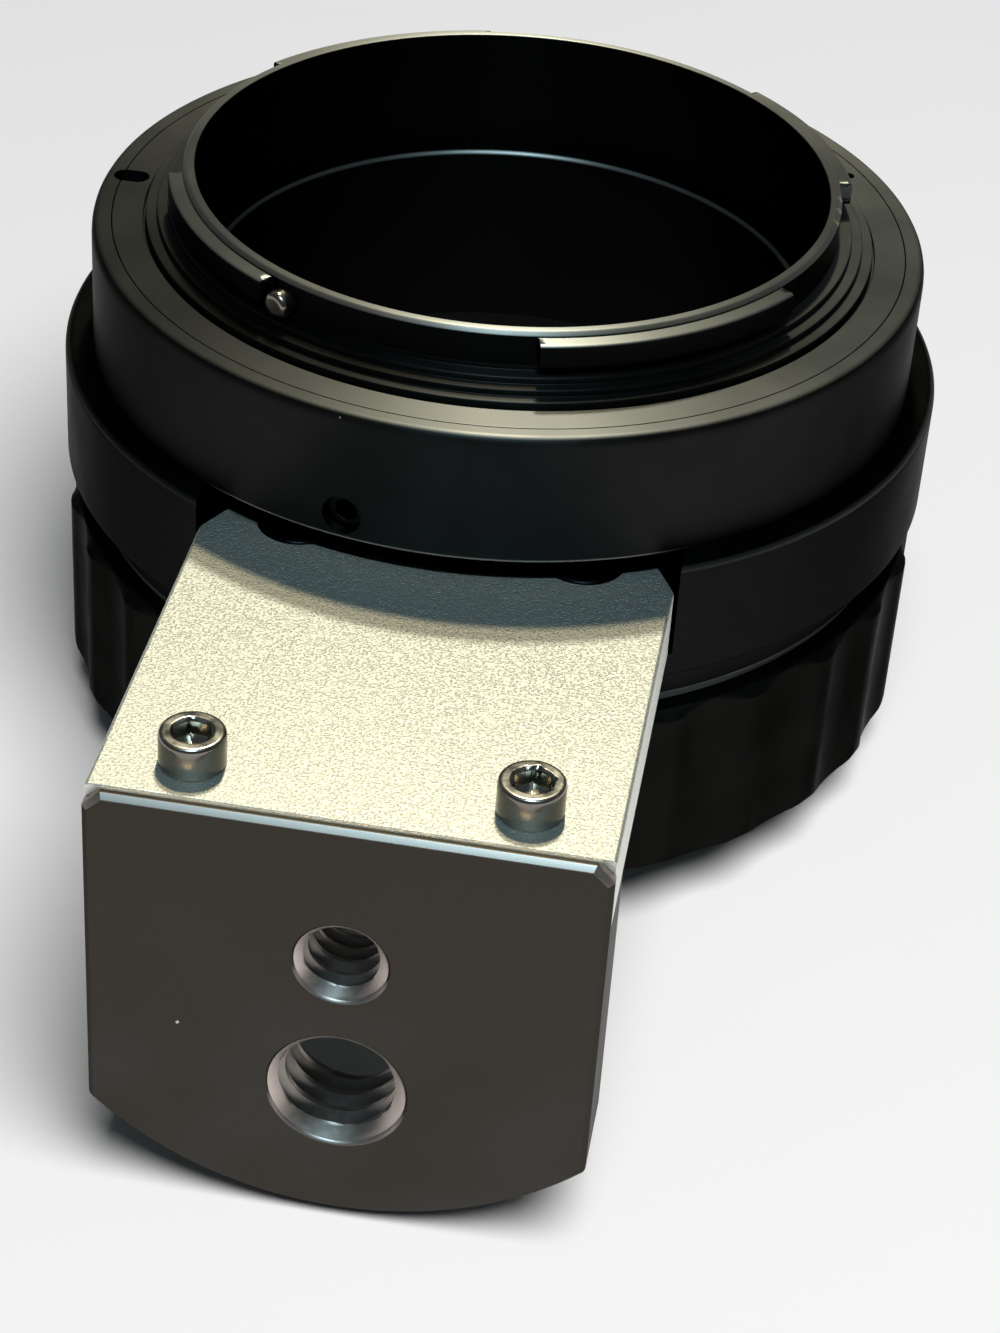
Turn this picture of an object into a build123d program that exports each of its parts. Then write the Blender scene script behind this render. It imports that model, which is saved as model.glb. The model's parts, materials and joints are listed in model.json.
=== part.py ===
from build123d import *
import os
from math import asin, cos, degrees, radians, sin, sqrt, tan

# Lens mount adapter with a tripod foot, in millimetres.
# The optical axis is Z, with the camera side up, and the origin is on the axis
# in the plane of the camera flange. The tripod foot reaches out along -Y.

# Fits and clearances
slip_fit = 0.05          # radial, between turned rings that slide together
thread_fit = 0.03        # radial, between a screw and its tapped hole
running_gap = 0.1        # axial, beside the friction washer and the ring's rib
open_gap = 0.4           # between pieces that stay clear of each other
hole_clearance = 0.25    # radial, around a screw that passes through a piece
screw_hole_spare = 0.3   # depth of a tapped hole beyond its screw's tip

# Camera side bayonet
throat_radius = 24.2
throat_depth = 5.5
barrel_wall = 0.9
barrel_height = 4.5
rim_bevel = 0.2
lug_reach = 1.1
lug_drop = 0.4
lug_thickness = 1.8
lug_centres_and_widths = ((-53.5, 47.0), (31.0, 38.0), (125.0, 44.0), (-144.7, 40.6))
register_height = 1.5
register_steps = 3
register_run = 0.85
relief_width = 0.2
relief_depth = 0.3
flange_land = 2.35
flange_thickness = 2.5
skirt_inset = 1.85
skirt_wall = 2.6
skirt_clearance = 0.2
lock_slot_angle = 181.0
lock_slot_width = 1.9
lock_slot_length = 2.8
lock_slot_depth = 2.0
lock_slot_inset = 0.3
index_dimple_angle = 31.0
index_dimple_radius = 0.5
index_dimple_depth = 0.6

# Stop pin beside the left lug
stop_pin_angle = -121.5
stop_pin_radius = 1.05
stop_pin_height = 2.6
stop_pin_recess = 0.15
pin_bevel = 0.25

# Housing sleeve and its three set screws
rim_wall = 1.5
housing_height = 10.2
housing_round = 1.0
housing_bevel = 0.3
set_screw_count = 3
set_screw_radius = 1.5
set_screw_angle = -101.9
set_screw_rise = 1.9
set_screw_recess = 0.8
set_screw_socket = 1.5
set_screw_socket_depth = 1.3

# Main body: neck, collar with the foot's pocket, and the barrel of the lock ring
ledge_width = 1.2
collar_ledge = 2.2
collar_height = 9.3
collar_round = 0.6
collar_bevel = 0.3
groove_height = 3.0
ring_barrel_wall = 2.5
lens_counterbore_depth = 11.0
lens_counterbore_relief = 0.5
pocket_clearance = 0.3

# Foot arm
foot_width = 34.6
foot_reach = 61.5
arm_drop = 1.8
arm_thickness = 5.5
arm_tuck = 0.9
arm_corner_width = 1.5
arm_corner_length = 2.9
arm_edge_bevel = 0.2
tail_screw_margin = 6.85
tail_screw_inset = 1.9
tail_screw_thread_length = 6.0

# Foot plate with the two tripod threads
plate_thickness = 7.0
lip_thickness = 1.1
lip_corner = 1.2
lip_bevel = 0.38
plate_side_height = 26.6
plate_arc_radius = 24.5
plate_corner_round = 0.8
quarter_thread_radius = 3.175
quarter_thread_depth = 11.2
three_eighths_thread_radius = 4.7625
three_eighths_thread_depth = 22.5
thread_mouth_bevel = 0.2

# Socket head screws on top of the foot
plate_screw_radius = 1.25
plate_screw_head_radius = 2.25
plate_screw_head_height = 2.5
plate_screw_length = 12.0
plate_screw_margin = 6.2
plate_screw_inset = 2.1
plate_screw_socket = 2.0
plate_screw_socket_depth = 1.2
screw_head_round = 0.25

# Socket head screws that hold the foot's tail
tail_screw_radius = 1.5
tail_screw_head_radius = 2.75
tail_screw_head_height = 3.0
tail_screw_socket = 2.5
tail_screw_socket_depth = 1.4

# Lens side breech lock
register_distance = 32.0
lens_bore_radius = 27.0
seat_thickness = 3.0
seat_edge = 1.0
shim_thickness = 0.4
seat_screw_count = 4
seat_screw_angle = 60.0
seat_screw_radius = 0.8
seat_screw_head_radius = 1.35
seat_screw_length = 6.0
seat_screw_inset = 1.75
seat_screw_slope = 45.0
seat_screw_slot_width = 0.4
seat_screw_slot_depth = 0.35
index_pin_angle = 90.0
index_pin_radius = 1.0
index_pin_stand = 1.6
index_pin_sink = 2.0
washer_thickness = 0.8
washer_width = 1.6

# Scalloped lock ring, which turns to clamp the lens
grip_wall = 1.85
grip_inset = 0.1
flute_count = 28
flute_width = 7.0
flute_depth = 0.6
grip_top_bevel = 0.7
grip_bottom_round = 0.8
grip_top_rise = 0.3
ring_counterbore = 1.4
lens_flange_thickness = 3.0
tab_count = 4
tab_width_angle = 40.0
tab_reach = 2.8
tab_thickness = 2.3
tab_recess = 0.5
tab_first_angle = 45.0
lock_turn = 45.0
stop_screw_angle = 90.0
stop_screw_radius = 1.0
stop_screw_recess = 1.0
stop_groove_depth = 1.4
stop_groove_clearance = 0.2
stop_screw_slot_width = 0.4
stop_screw_slot_depth = 0.6

# Radii worked out from the sizes above
barrel_outer = throat_radius + barrel_wall
lug_outer = barrel_outer + lug_reach
register_outer = lug_outer + (register_steps - 1) * register_run
relief_outer = register_outer + relief_width
flange_radius = relief_outer + flange_land
recess_radius = flange_radius + slip_fit
housing_outer = recess_radius + rim_wall
arm_back_radius = housing_outer - arm_tuck
skirt_outer = flange_radius - skirt_inset
skirt_inner = skirt_outer - skirt_wall
housing_inner = skirt_outer + slip_fit
neck_outer = skirt_inner - slip_fit
bore_radius = throat_radius - ledge_width
tail_inner = neck_outer + open_gap
tail_screw_circle = arm_back_radius - tail_screw_inset
counterbore_radius = lens_bore_radius + lens_counterbore_relief
ring_barrel_radius = counterbore_radius + ring_barrel_wall
seat_outer = ring_barrel_radius + seat_edge
ring_bearing = ring_barrel_radius + slip_fit
washer_inner = ring_barrel_radius + hole_clearance
washer_outer = washer_inner + washer_width
washer_recess = washer_outer + open_gap
groove_radius = washer_recess
collar_radius = max(housing_outer + collar_ledge, washer_recess + grip_wall + grip_inset)
grip_radius = collar_radius - grip_inset
ring_counterbore_radius = ring_barrel_radius + ring_counterbore
tab_inner = ring_counterbore_radius - tab_reach
seat_screw_circle = lens_bore_radius + seat_screw_inset
seat_hole_radius = seat_screw_radius + hole_clearance / 2
index_pin_circle = (lens_bore_radius + seat_outer) / 2

# Heights worked out from the sizes above
flange_seat = -flange_thickness
ledge_level = -throat_depth
housing_bottom = -housing_height
skirt_bottom = housing_bottom + skirt_clearance
set_screw_level = housing_bottom + set_screw_rise
arm_top = housing_bottom - arm_drop
arm_bottom = arm_top - arm_thickness
tail_top = arm_top - tail_screw_head_height
collar_bottom = housing_bottom - collar_height
groove_bottom = collar_bottom - groove_height
rib_top = groove_bottom - 2 * running_gap - washer_thickness
grip_top = rib_top + grip_top_rise
seat_face = -register_distance
seat_top = seat_face + seat_thickness
barrel_bottom = seat_top + shim_thickness
rib_bottom = seat_top + 2 * running_gap
stop_screw_level = (rib_top + rib_bottom) / 2
counterbore_top = seat_face + lens_counterbore_depth
tab_top = seat_face - lens_flange_thickness
tab_bottom = tab_top - tab_thickness
grip_bottom = tab_bottom - tab_recess
sink_depth = (seat_screw_head_radius - seat_screw_radius) / tan(radians(seat_screw_slope))

# Places on the foot
foot_half = foot_width / 2
plate_front = -foot_reach
plate_back = plate_front + plate_thickness
arm_front = plate_front + lip_thickness
plate_screw_line = plate_back - plate_screw_inset
plate_screw_spread = foot_half - plate_screw_margin
plate_side_bottom = arm_top - plate_side_height
arc_centre_height = plate_side_bottom + sqrt(plate_arc_radius**2 - foot_half**2)
plate_bottom = arc_centre_height - plate_arc_radius
quarter_thread_height = arm_top - quarter_thread_depth
three_eighths_thread_height = arm_top - three_eighths_thread_depth
arm_corner_x = foot_half - arm_corner_width
arm_corner_y = -sqrt(arm_back_radius**2 - arm_corner_x**2)
tail_screw_x = foot_half - tail_screw_margin
tail_screw_y = -sqrt(tail_screw_circle**2 - tail_screw_x**2)
tail_corner_x = arm_corner_x * tail_inner / arm_back_radius
tail_corner_y = arm_corner_y * tail_inner / arm_back_radius


def half_plane(angle):
    """The plane through the axis whose first direction points out at an angle."""
    out = (cos(radians(angle)), sin(radians(angle)), 0)
    return Plane(origin=(0, 0, 0), x_dir=out, z_dir=(out[1], -out[0], 0))


def radial_plane(angle, radius, height):
    """A plane that faces straight out from the axis."""
    out = (cos(radians(angle)), sin(radians(angle)), 0)
    origin = (radius * out[0], radius * out[1], height)
    return Plane(origin=origin, x_dir=(-out[1], out[0], 0), z_dir=out)


def half_section(*corners, rounds=(), angle=0.0):
    """A closed half-section of a turned piece, its corners as radius and height."""
    with BuildSketch(half_plane(angle)) as section:
        with BuildLine():
            Polyline(*corners, close=True)
        make_face()
        for corner, radius in rounds:
            fillet(section.vertices().sort_by_distance(corner)[0], radius=radius)
    return section.sketch


def disc(plane, radius):
    """A round profile on a plane."""
    with BuildSketch(plane) as profile:
        Circle(radius)
    return profile.sketch


def ring_of_discs(height, circle, count, first_angle, radius):
    """Round profiles evenly spaced on a circle about the axis."""
    with BuildSketch(Plane.XY.offset(height)) as profiles:
        with PolarLocations(circle, count, start_angle=first_angle):
            Circle(radius)
    return profiles.sketch


def hexagon(plane, across_flats):
    """A hexagon profile on a plane, sized across its flats."""
    with BuildSketch(plane) as profile:
        RegularPolygon(radius=across_flats / 2, side_count=6, major_radius=False)
    return profile.sketch


def lock_slot():
    """The outline of the lock pin slot, from the flange land out into the rim."""
    middle = relief_outer + lock_slot_inset + lock_slot_length / 2
    with BuildSketch() as outline:
        with PolarLocations(middle, 1, start_angle=lock_slot_angle):
            SlotOverall(lock_slot_length, lock_slot_width)
    return outline.sketch


def socket_screw(seat, radius, length, head_radius, head_height, socket, socket_depth):
    """A socket head cap screw, its head standing on a seat point with the shank below."""
    seat_plane = Plane(origin=seat)
    with BuildPart() as screw:
        extrude(disc(seat_plane, head_radius), amount=head_height)
        top = screw.faces().sort_by(Axis.Z)[-1]
        fillet(top.edges(), radius=screw_head_round)
        extrude(disc(seat_plane, radius), amount=-length)
        socket_plane = seat_plane.offset(head_height)
        extrude(hexagon(socket_plane, socket), amount=-socket_depth, mode=Mode.SUBTRACT)
    return screw.part


def seat_screw_discs(height, radius):
    """Round profiles at the four screws of the lens seat."""
    return ring_of_discs(height, seat_screw_circle, seat_screw_count, seat_screw_angle, radius)


def save(piece, name):
    """Label a finished piece and write it."""
    piece.label = name
    export_step(piece, f"parts/{name}.step")


os.makedirs("parts", exist_ok=True)
set_screw_angles = [set_screw_angle + i * 360 / set_screw_count for i in range(set_screw_count)]
tail_screw_places = [(-tail_screw_x, tail_screw_y), (tail_screw_x, tail_screw_y)]
plate_screw_places = [(-plate_screw_spread, plate_screw_line), (plate_screw_spread, plate_screw_line)]

# Bayonet mount: barrel, four lugs, stepped register, flange and the skirt below it
with BuildPart() as bayonet_mount:
    register_profile = []
    for step in range(register_steps):
        step_radius = lug_outer + step * register_run
        step_top = register_height * (1 - step / register_steps)
        register_profile.append((step_radius, step_top))
        register_profile.append((step_radius, step_top - register_height / register_steps))
    register_profile[-1] = (register_outer, -relief_depth)
    mount_section = half_section(
        (throat_radius, ledge_level),
        (throat_radius, barrel_height - rim_bevel),
        (throat_radius + rim_bevel, barrel_height),
        (barrel_outer - rim_bevel, barrel_height),
        (barrel_outer, barrel_height - rim_bevel),
        (barrel_outer, register_height),
        *register_profile,
        (relief_outer, -relief_depth),
        (relief_outer, 0),
        (flange_radius, 0),
        (flange_radius, flange_seat),
        (skirt_outer, flange_seat),
        (skirt_outer, skirt_bottom),
        (skirt_inner, skirt_bottom),
        (skirt_inner, ledge_level),
    )
    revolve(mount_section, axis=Axis.Z)
    lug_top = barrel_height - lug_drop
    for centre, width in lug_centres_and_widths:
        lug_section = half_section(
            (barrel_outer - barrel_wall / 2, lug_top - lug_thickness),
            (lug_outer, lug_top - lug_thickness),
            (lug_outer, lug_top - rim_bevel),
            (lug_outer - rim_bevel, lug_top),
            (barrel_outer - barrel_wall / 2, lug_top),
            angle=centre - width / 2,
        )
        revolve(lug_section, axis=Axis.Z, revolution_arc=width)
    extrude(lock_slot(), amount=-lock_slot_depth, mode=Mode.SUBTRACT)
    dimple_circle = (relief_outer + flange_radius) / 2
    dimple = ring_of_discs(0, dimple_circle, 1, index_dimple_angle, index_dimple_radius)
    extrude(dimple, amount=-index_dimple_depth, mode=Mode.SUBTRACT)
    pin_plane = radial_plane(stop_pin_angle, throat_radius - open_gap, stop_pin_height)
    pin_hole = disc(pin_plane, stop_pin_radius + thread_fit)
    extrude(pin_hole, amount=barrel_wall + lug_reach + 2 * open_gap, mode=Mode.SUBTRACT)
save(bayonet_mount.part, "bayonet_mount")

# Stop pin: a short steel pin pressed through the barrel wall
with BuildPart() as stop_pin:
    pin_start = throat_radius + stop_pin_recess
    pin_base = radial_plane(stop_pin_angle, pin_start, stop_pin_height)
    extrude(disc(pin_base, stop_pin_radius), amount=lug_outer - pin_start)
    pin_direction = Axis((0, 0, 0), pin_base.z_dir)
    chamfer(stop_pin.faces().sort_by(pin_direction)[-1].edges(), length=pin_bevel)
save(stop_pin.part, "stop_pin")

# Housing: the sleeve that carries the flange and its three set screws
with BuildPart() as housing:
    housing_section = half_section(
        (housing_inner, housing_bottom),
        (housing_outer - housing_bevel, housing_bottom),
        (housing_outer, housing_bottom + housing_bevel),
        (housing_outer, 0),
        (recess_radius, 0),
        (recess_radius, flange_seat),
        (housing_inner, flange_seat),
        rounds=[((housing_outer, 0), housing_round)],
    )
    revolve(housing_section, axis=Axis.Z)
    extrude(lock_slot(), amount=-lock_slot_depth, mode=Mode.SUBTRACT)
    for angle in set_screw_angles:
        screw_plane = radial_plane(angle, skirt_outer, set_screw_level)
        tapped_hole = disc(screw_plane, set_screw_radius)
        extrude(tapped_hole, amount=housing_outer - skirt_outer + open_gap, mode=Mode.SUBTRACT)
save(housing.part, "housing")

# Set screws: they pass through the housing and bear on the mount's skirt
set_screw_names = ("set_screw_front", "set_screw_right_rear", "set_screw_left_rear")
for name, angle in zip(set_screw_names, set_screw_angles):
    with BuildPart() as set_screw:
        tip_plane = radial_plane(angle, housing_inner, set_screw_level)
        screw_length = housing_outer - set_screw_recess - housing_inner
        extrude(disc(tip_plane, set_screw_radius - thread_fit), amount=screw_length)
        outer_plane = tip_plane.offset(screw_length)
        socket_profile = hexagon(outer_plane, set_screw_socket)
        extrude(socket_profile, amount=-set_screw_socket_depth, mode=Mode.SUBTRACT)
    save(set_screw.part, name)

# Main body: neck, collar, groove and the barrel that the lock ring turns on
with BuildPart() as main_body:
    body_section = half_section(
        (bore_radius, ledge_level),
        (neck_outer, ledge_level),
        (neck_outer, housing_bottom),
        (collar_radius, housing_bottom),
        (collar_radius, collar_bottom + collar_bevel),
        (collar_radius - collar_bevel, collar_bottom),
        (groove_radius, collar_bottom),
        (groove_radius, groove_bottom),
        (ring_barrel_radius, groove_bottom),
        (ring_barrel_radius, barrel_bottom),
        (counterbore_radius, barrel_bottom),
        (counterbore_radius, counterbore_top),
        (bore_radius, counterbore_top),
        rounds=[((collar_radius, housing_bottom), collar_round)],
    )
    revolve(body_section, axis=Axis.Z)
    with BuildSketch(Plane.XY.offset(arm_bottom)):
        with Locations((0, -collar_radius / 2)):
            Rectangle(2 * (foot_half + pocket_clearance), collar_radius)
        Circle(neck_outer, mode=Mode.SUBTRACT)
    extrude(amount=housing_bottom - arm_bottom, mode=Mode.SUBTRACT)
    for place in tail_screw_places:
        tap_plane = Plane(origin=(place[0], place[1], arm_bottom))
        tap_depth = arm_bottom - tail_top + tail_screw_thread_length + screw_hole_spare
        extrude(disc(tap_plane, tail_screw_radius), amount=-tap_depth, mode=Mode.SUBTRACT)
    seat_taps = seat_screw_discs(barrel_bottom, seat_screw_radius)
    seat_tap_depth = seat_face + seat_screw_length - barrel_bottom + screw_hole_spare
    extrude(seat_taps, amount=seat_tap_depth, mode=Mode.SUBTRACT)
    groove_floor = ring_barrel_radius - stop_groove_depth
    groove_half_height = stop_screw_radius + stop_groove_clearance
    groove_spare = degrees(asin(groove_half_height / groove_floor))
    groove_section = half_section(
        (groove_floor, stop_screw_level - groove_half_height),
        (ring_barrel_radius + open_gap, stop_screw_level - groove_half_height),
        (ring_barrel_radius + open_gap, stop_screw_level + groove_half_height),
        (groove_floor, stop_screw_level + groove_half_height),
        angle=stop_screw_angle - groove_spare,
    )
    groove_arc = lock_turn + 2 * groove_spare
    revolve(groove_section, axis=Axis.Z, revolution_arc=groove_arc, mode=Mode.SUBTRACT)
save(main_body.part, "main_body")

# Foot arm: a flat bar with a thinner tail that lies under the housing
with BuildPart() as foot_arm:
    with BuildSketch(Plane.XY.offset(arm_bottom)):
        with BuildLine():
            Polyline(
                (arm_corner_x, arm_corner_y),
                (foot_half, arm_corner_y - arm_corner_length),
                (foot_half, arm_front),
                (-foot_half, arm_front),
                (-foot_half, arm_corner_y - arm_corner_length),
                (-arm_corner_x, arm_corner_y),
            )
            ThreePointArc(
                (-arm_corner_x, arm_corner_y),
                (0, -arm_back_radius),
                (arm_corner_x, arm_corner_y),
            )
        make_face()
    extrude(amount=arm_thickness)
    top_face = foot_arm.faces().sort_by(Axis.Z)[-1]
    side_edges = top_face.edges().filter_by(Axis.Y)
    chamfer(side_edges, length=arm_edge_bevel)
    with BuildSketch(Plane.XY.offset(arm_bottom)):
        with BuildLine():
            ThreePointArc(
                (-arm_corner_x, arm_corner_y),
                (0, -arm_back_radius),
                (arm_corner_x, arm_corner_y),
            )
            Line((arm_corner_x, arm_corner_y), (tail_corner_x, tail_corner_y))
            ThreePointArc(
                (tail_corner_x, tail_corner_y),
                (0, -tail_inner),
                (-tail_corner_x, tail_corner_y),
            )
            Line((-tail_corner_x, tail_corner_y), (-arm_corner_x, arm_corner_y))
        make_face()
    extrude(amount=tail_top - arm_bottom)
    for place in tail_screw_places:
        head_plane = Plane(origin=(place[0], place[1], tail_top))
        head_room = disc(head_plane, tail_screw_head_radius + hole_clearance)
        extrude(head_room, amount=arm_top - tail_top, mode=Mode.SUBTRACT)
        shank_room = disc(head_plane, tail_screw_radius + hole_clearance)
        extrude(shank_room, amount=arm_bottom - tail_top, mode=Mode.SUBTRACT)
    for place in plate_screw_places:
        hole_plane = Plane(origin=(place[0], place[1], arm_bottom))
        screw_hole = disc(hole_plane, plate_screw_radius + hole_clearance)
        extrude(screw_hole, amount=arm_thickness, mode=Mode.SUBTRACT)
save(foot_arm.part, "foot_arm")

# Foot plate: a thick plate below the arm, with a thin lip that closes the arm's end
with BuildPart() as foot_plate:
    with BuildSketch(Plane.XZ.offset(-plate_back)) as plate_outline:
        with BuildLine():
            Polyline(
                (-foot_half, plate_side_bottom),
                (-foot_half, arm_bottom),
                (foot_half, arm_bottom),
                (foot_half, plate_side_bottom),
            )
            ThreePointArc(
                (foot_half, plate_side_bottom),
                (0, plate_bottom),
                (-foot_half, plate_side_bottom),
            )
        make_face()
        bottom_corners = plate_outline.vertices().group_by(Axis.Y)[0]
        fillet(bottom_corners, radius=plate_corner_round)
    extrude(amount=plate_thickness)
    with BuildSketch(Plane.XZ.offset(-arm_front)):
        with BuildLine():
            Polyline(
                (-foot_half, arm_bottom),
                (-foot_half, arm_top - lip_corner),
                (-foot_half + lip_corner, arm_top),
                (foot_half - lip_corner, arm_top),
                (foot_half, arm_top - lip_corner),
                (foot_half, arm_bottom),
                close=True,
            )
        make_face()
    extrude(amount=lip_thickness)
    front_face = foot_plate.faces().filter_by(Axis.Y).sort_by(Axis.Y)[0]
    chamfer(front_face.edges(), length=lip_bevel)
    lip_back_edge = (
        foot_plate.edges()
        .filter_by(Axis.X)
        .filter_by_position(Axis.Y, arm_front - lip_bevel / 2, arm_front + lip_bevel / 2)
        .sort_by(Axis.Z)[-1]
    )
    chamfer(lip_back_edge, length=lip_bevel)
    for hole_height, hole_radius in (
        (quarter_thread_height, quarter_thread_radius),
        (three_eighths_thread_height, three_eighths_thread_radius),
    ):
        mouth_plane = Plane(origin=(0, plate_front, hole_height), x_dir=(1, 0, 0), z_dir=(0, -1, 0))
        tapped_hole = disc(mouth_plane, hole_radius)
        extrude(tapped_hole, amount=-plate_thickness, mode=Mode.SUBTRACT)
        mouths = (
            foot_plate.edges()
            .filter_by(GeomType.CIRCLE)
            .filter_by(lambda edge: abs(edge.radius - hole_radius) < thread_fit)
        )
        chamfer(mouths, length=thread_mouth_bevel)
    for place in plate_screw_places:
        tap_plane = Plane(origin=(place[0], place[1], arm_bottom))
        tap_depth = plate_screw_length - arm_thickness + screw_hole_spare
        extrude(disc(tap_plane, plate_screw_radius), amount=-tap_depth, mode=Mode.SUBTRACT)
save(foot_plate.part, "foot_plate")

# Screws: a bright pair on top of the foot and a black pair under the housing's edge
for name, place in zip(("plate_screw_left", "plate_screw_right"), plate_screw_places):
    plate_screw = socket_screw(
        (place[0], place[1], arm_top),
        plate_screw_radius - thread_fit,
        plate_screw_length,
        plate_screw_head_radius,
        plate_screw_head_height,
        plate_screw_socket,
        plate_screw_socket_depth,
    )
    save(plate_screw, name)
for name, place in zip(("tail_screw_left", "tail_screw_right"), tail_screw_places):
    tail_screw = socket_screw(
        (place[0], place[1], tail_top),
        tail_screw_radius - thread_fit,
        tail_screw_thread_length,
        tail_screw_head_radius,
        tail_screw_head_height,
        tail_screw_socket,
        tail_screw_socket_depth,
    )
    save(tail_screw, name)

# Friction washer between the body's groove and the lock ring
with BuildPart() as friction_washer:
    washer_section = half_section(
        (washer_inner, groove_bottom - running_gap - washer_thickness),
        (washer_outer, groove_bottom - running_gap - washer_thickness),
        (washer_outer, groove_bottom - running_gap),
        (washer_inner, groove_bottom - running_gap),
    )
    revolve(washer_section, axis=Axis.Z)
save(friction_washer.part, "friction_washer")

# Shim under the lens seat, which sets the distance from flange to seat
with BuildPart() as seat_shim:
    shim_section = half_section(
        (counterbore_radius, seat_top),
        (ring_barrel_radius, seat_top),
        (ring_barrel_radius, barrel_bottom),
        (counterbore_radius, barrel_bottom),
    )
    revolve(shim_section, axis=Axis.Z)
    shim_holes = seat_screw_discs(seat_top, seat_hole_radius)
    extrude(shim_holes, amount=shim_thickness, mode=Mode.SUBTRACT)
save(seat_shim.part, "seat_shim")

# Lens seat: the steel face that the lens flange is clamped against
with BuildPart() as lens_seat:
    seat_section = half_section(
        (lens_bore_radius, seat_face),
        (seat_outer, seat_face),
        (seat_outer, seat_top),
        (lens_bore_radius, seat_top),
    )
    revolve(seat_section, axis=Axis.Z)
    seat_holes = seat_screw_discs(seat_face, seat_hole_radius)
    extrude(seat_holes, amount=seat_thickness, mode=Mode.SUBTRACT)
    sink_mouths = seat_screw_discs(seat_face, seat_screw_head_radius + hole_clearance / 2)
    extrude(sink_mouths, amount=sink_depth, taper=seat_screw_slope, mode=Mode.SUBTRACT)
    pin_hole_radius = index_pin_radius + thread_fit
    pin_hole = ring_of_discs(seat_face, index_pin_circle, 1, index_pin_angle, pin_hole_radius)
    extrude(pin_hole, amount=index_pin_sink, mode=Mode.SUBTRACT)
save(lens_seat.part, "lens_seat")

# Countersunk screws that hold the lens seat
with BuildPart() as seat_screws:
    heads = seat_screw_discs(seat_face, seat_screw_head_radius)
    extrude(heads, amount=sink_depth, taper=seat_screw_slope)
    extrude(seat_screw_discs(seat_face, seat_screw_radius - thread_fit), amount=seat_screw_length)
    with BuildSketch(Plane.XY.offset(seat_face)):
        with PolarLocations(seat_screw_circle, seat_screw_count, start_angle=seat_screw_angle):
            Rectangle(2 * seat_screw_head_radius, seat_screw_slot_width)
    extrude(amount=seat_screw_slot_depth, mode=Mode.SUBTRACT)
save(seat_screws.part, "seat_screws")

# Index pin that the lens flange's notch drops over
with BuildPart() as index_pin:
    pin_tip = seat_face - index_pin_stand
    pin_profile = ring_of_discs(pin_tip, index_pin_circle, 1, index_pin_angle, index_pin_radius)
    extrude(pin_profile, amount=index_pin_stand + index_pin_sink)
    chamfer(index_pin.faces().sort_by(Axis.Z)[0].edges(), length=pin_bevel)
save(index_pin.part, "index_pin")

# Lock ring: a scalloped grip outside, four clamping tabs inside
with BuildPart() as lock_ring:
    ring_section = half_section(
        (ring_bearing, rib_bottom),
        (ring_counterbore_radius, rib_bottom),
        (ring_counterbore_radius, grip_bottom),
        (grip_radius, grip_bottom),
        (grip_radius, grip_top - grip_top_bevel),
        (grip_radius - grip_top_bevel, grip_top),
        (washer_recess, grip_top),
        (washer_recess, rib_top),
        (ring_bearing, rib_top),
        rounds=[((grip_radius, grip_bottom), grip_bottom_round)],
    )
    revolve(ring_section, axis=Axis.Z)
    flute_cutter = flute_width**2 / (8 * flute_depth) + flute_depth / 2
    with BuildSketch(Plane.XY.offset(grip_bottom)):
        with PolarLocations(grip_radius - flute_depth + flute_cutter, flute_count):
            Circle(flute_cutter)
    extrude(amount=grip_top - grip_bottom, mode=Mode.SUBTRACT)
    for tab in range(tab_count):
        tab_centre = tab_first_angle + tab * 360 / tab_count
        tab_section = half_section(
            (tab_inner, tab_bottom),
            (ring_counterbore_radius + open_gap, tab_bottom),
            (ring_counterbore_radius + open_gap, tab_top),
            (tab_inner, tab_top),
            angle=tab_centre - tab_width_angle / 2,
        )
        revolve(tab_section, axis=Axis.Z, revolution_arc=tab_width_angle)
    stop_plane = radial_plane(stop_screw_angle, ring_barrel_radius, stop_screw_level)
    stop_hole = disc(stop_plane, stop_screw_radius)
    extrude(stop_hole, amount=grip_radius - ring_barrel_radius + open_gap, mode=Mode.SUBTRACT)
save(lock_ring.part, "lock_ring")

# Stop screw: it turns with the lock ring, and its tip runs in the body's slot
with BuildPart() as stop_screw:
    tip_radius = groove_floor + stop_groove_clearance
    tip_plane = radial_plane(stop_screw_angle, tip_radius, stop_screw_level)
    stop_length = grip_radius - stop_screw_recess - tip_radius
    extrude(disc(tip_plane, stop_screw_radius - thread_fit), amount=stop_length)
    with BuildSketch(tip_plane.offset(stop_length)):
        Rectangle(2 * stop_screw_radius, stop_screw_slot_width)
    extrude(amount=-stop_screw_slot_depth, mode=Mode.SUBTRACT)
save(stop_screw.part, "stop_screw")
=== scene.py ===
import json
import math

import bmesh
import bpy
from bpy.props import FloatProperty, FloatVectorProperty, IntProperty, PointerProperty
from mathutils import Matrix, Vector, noise


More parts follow.
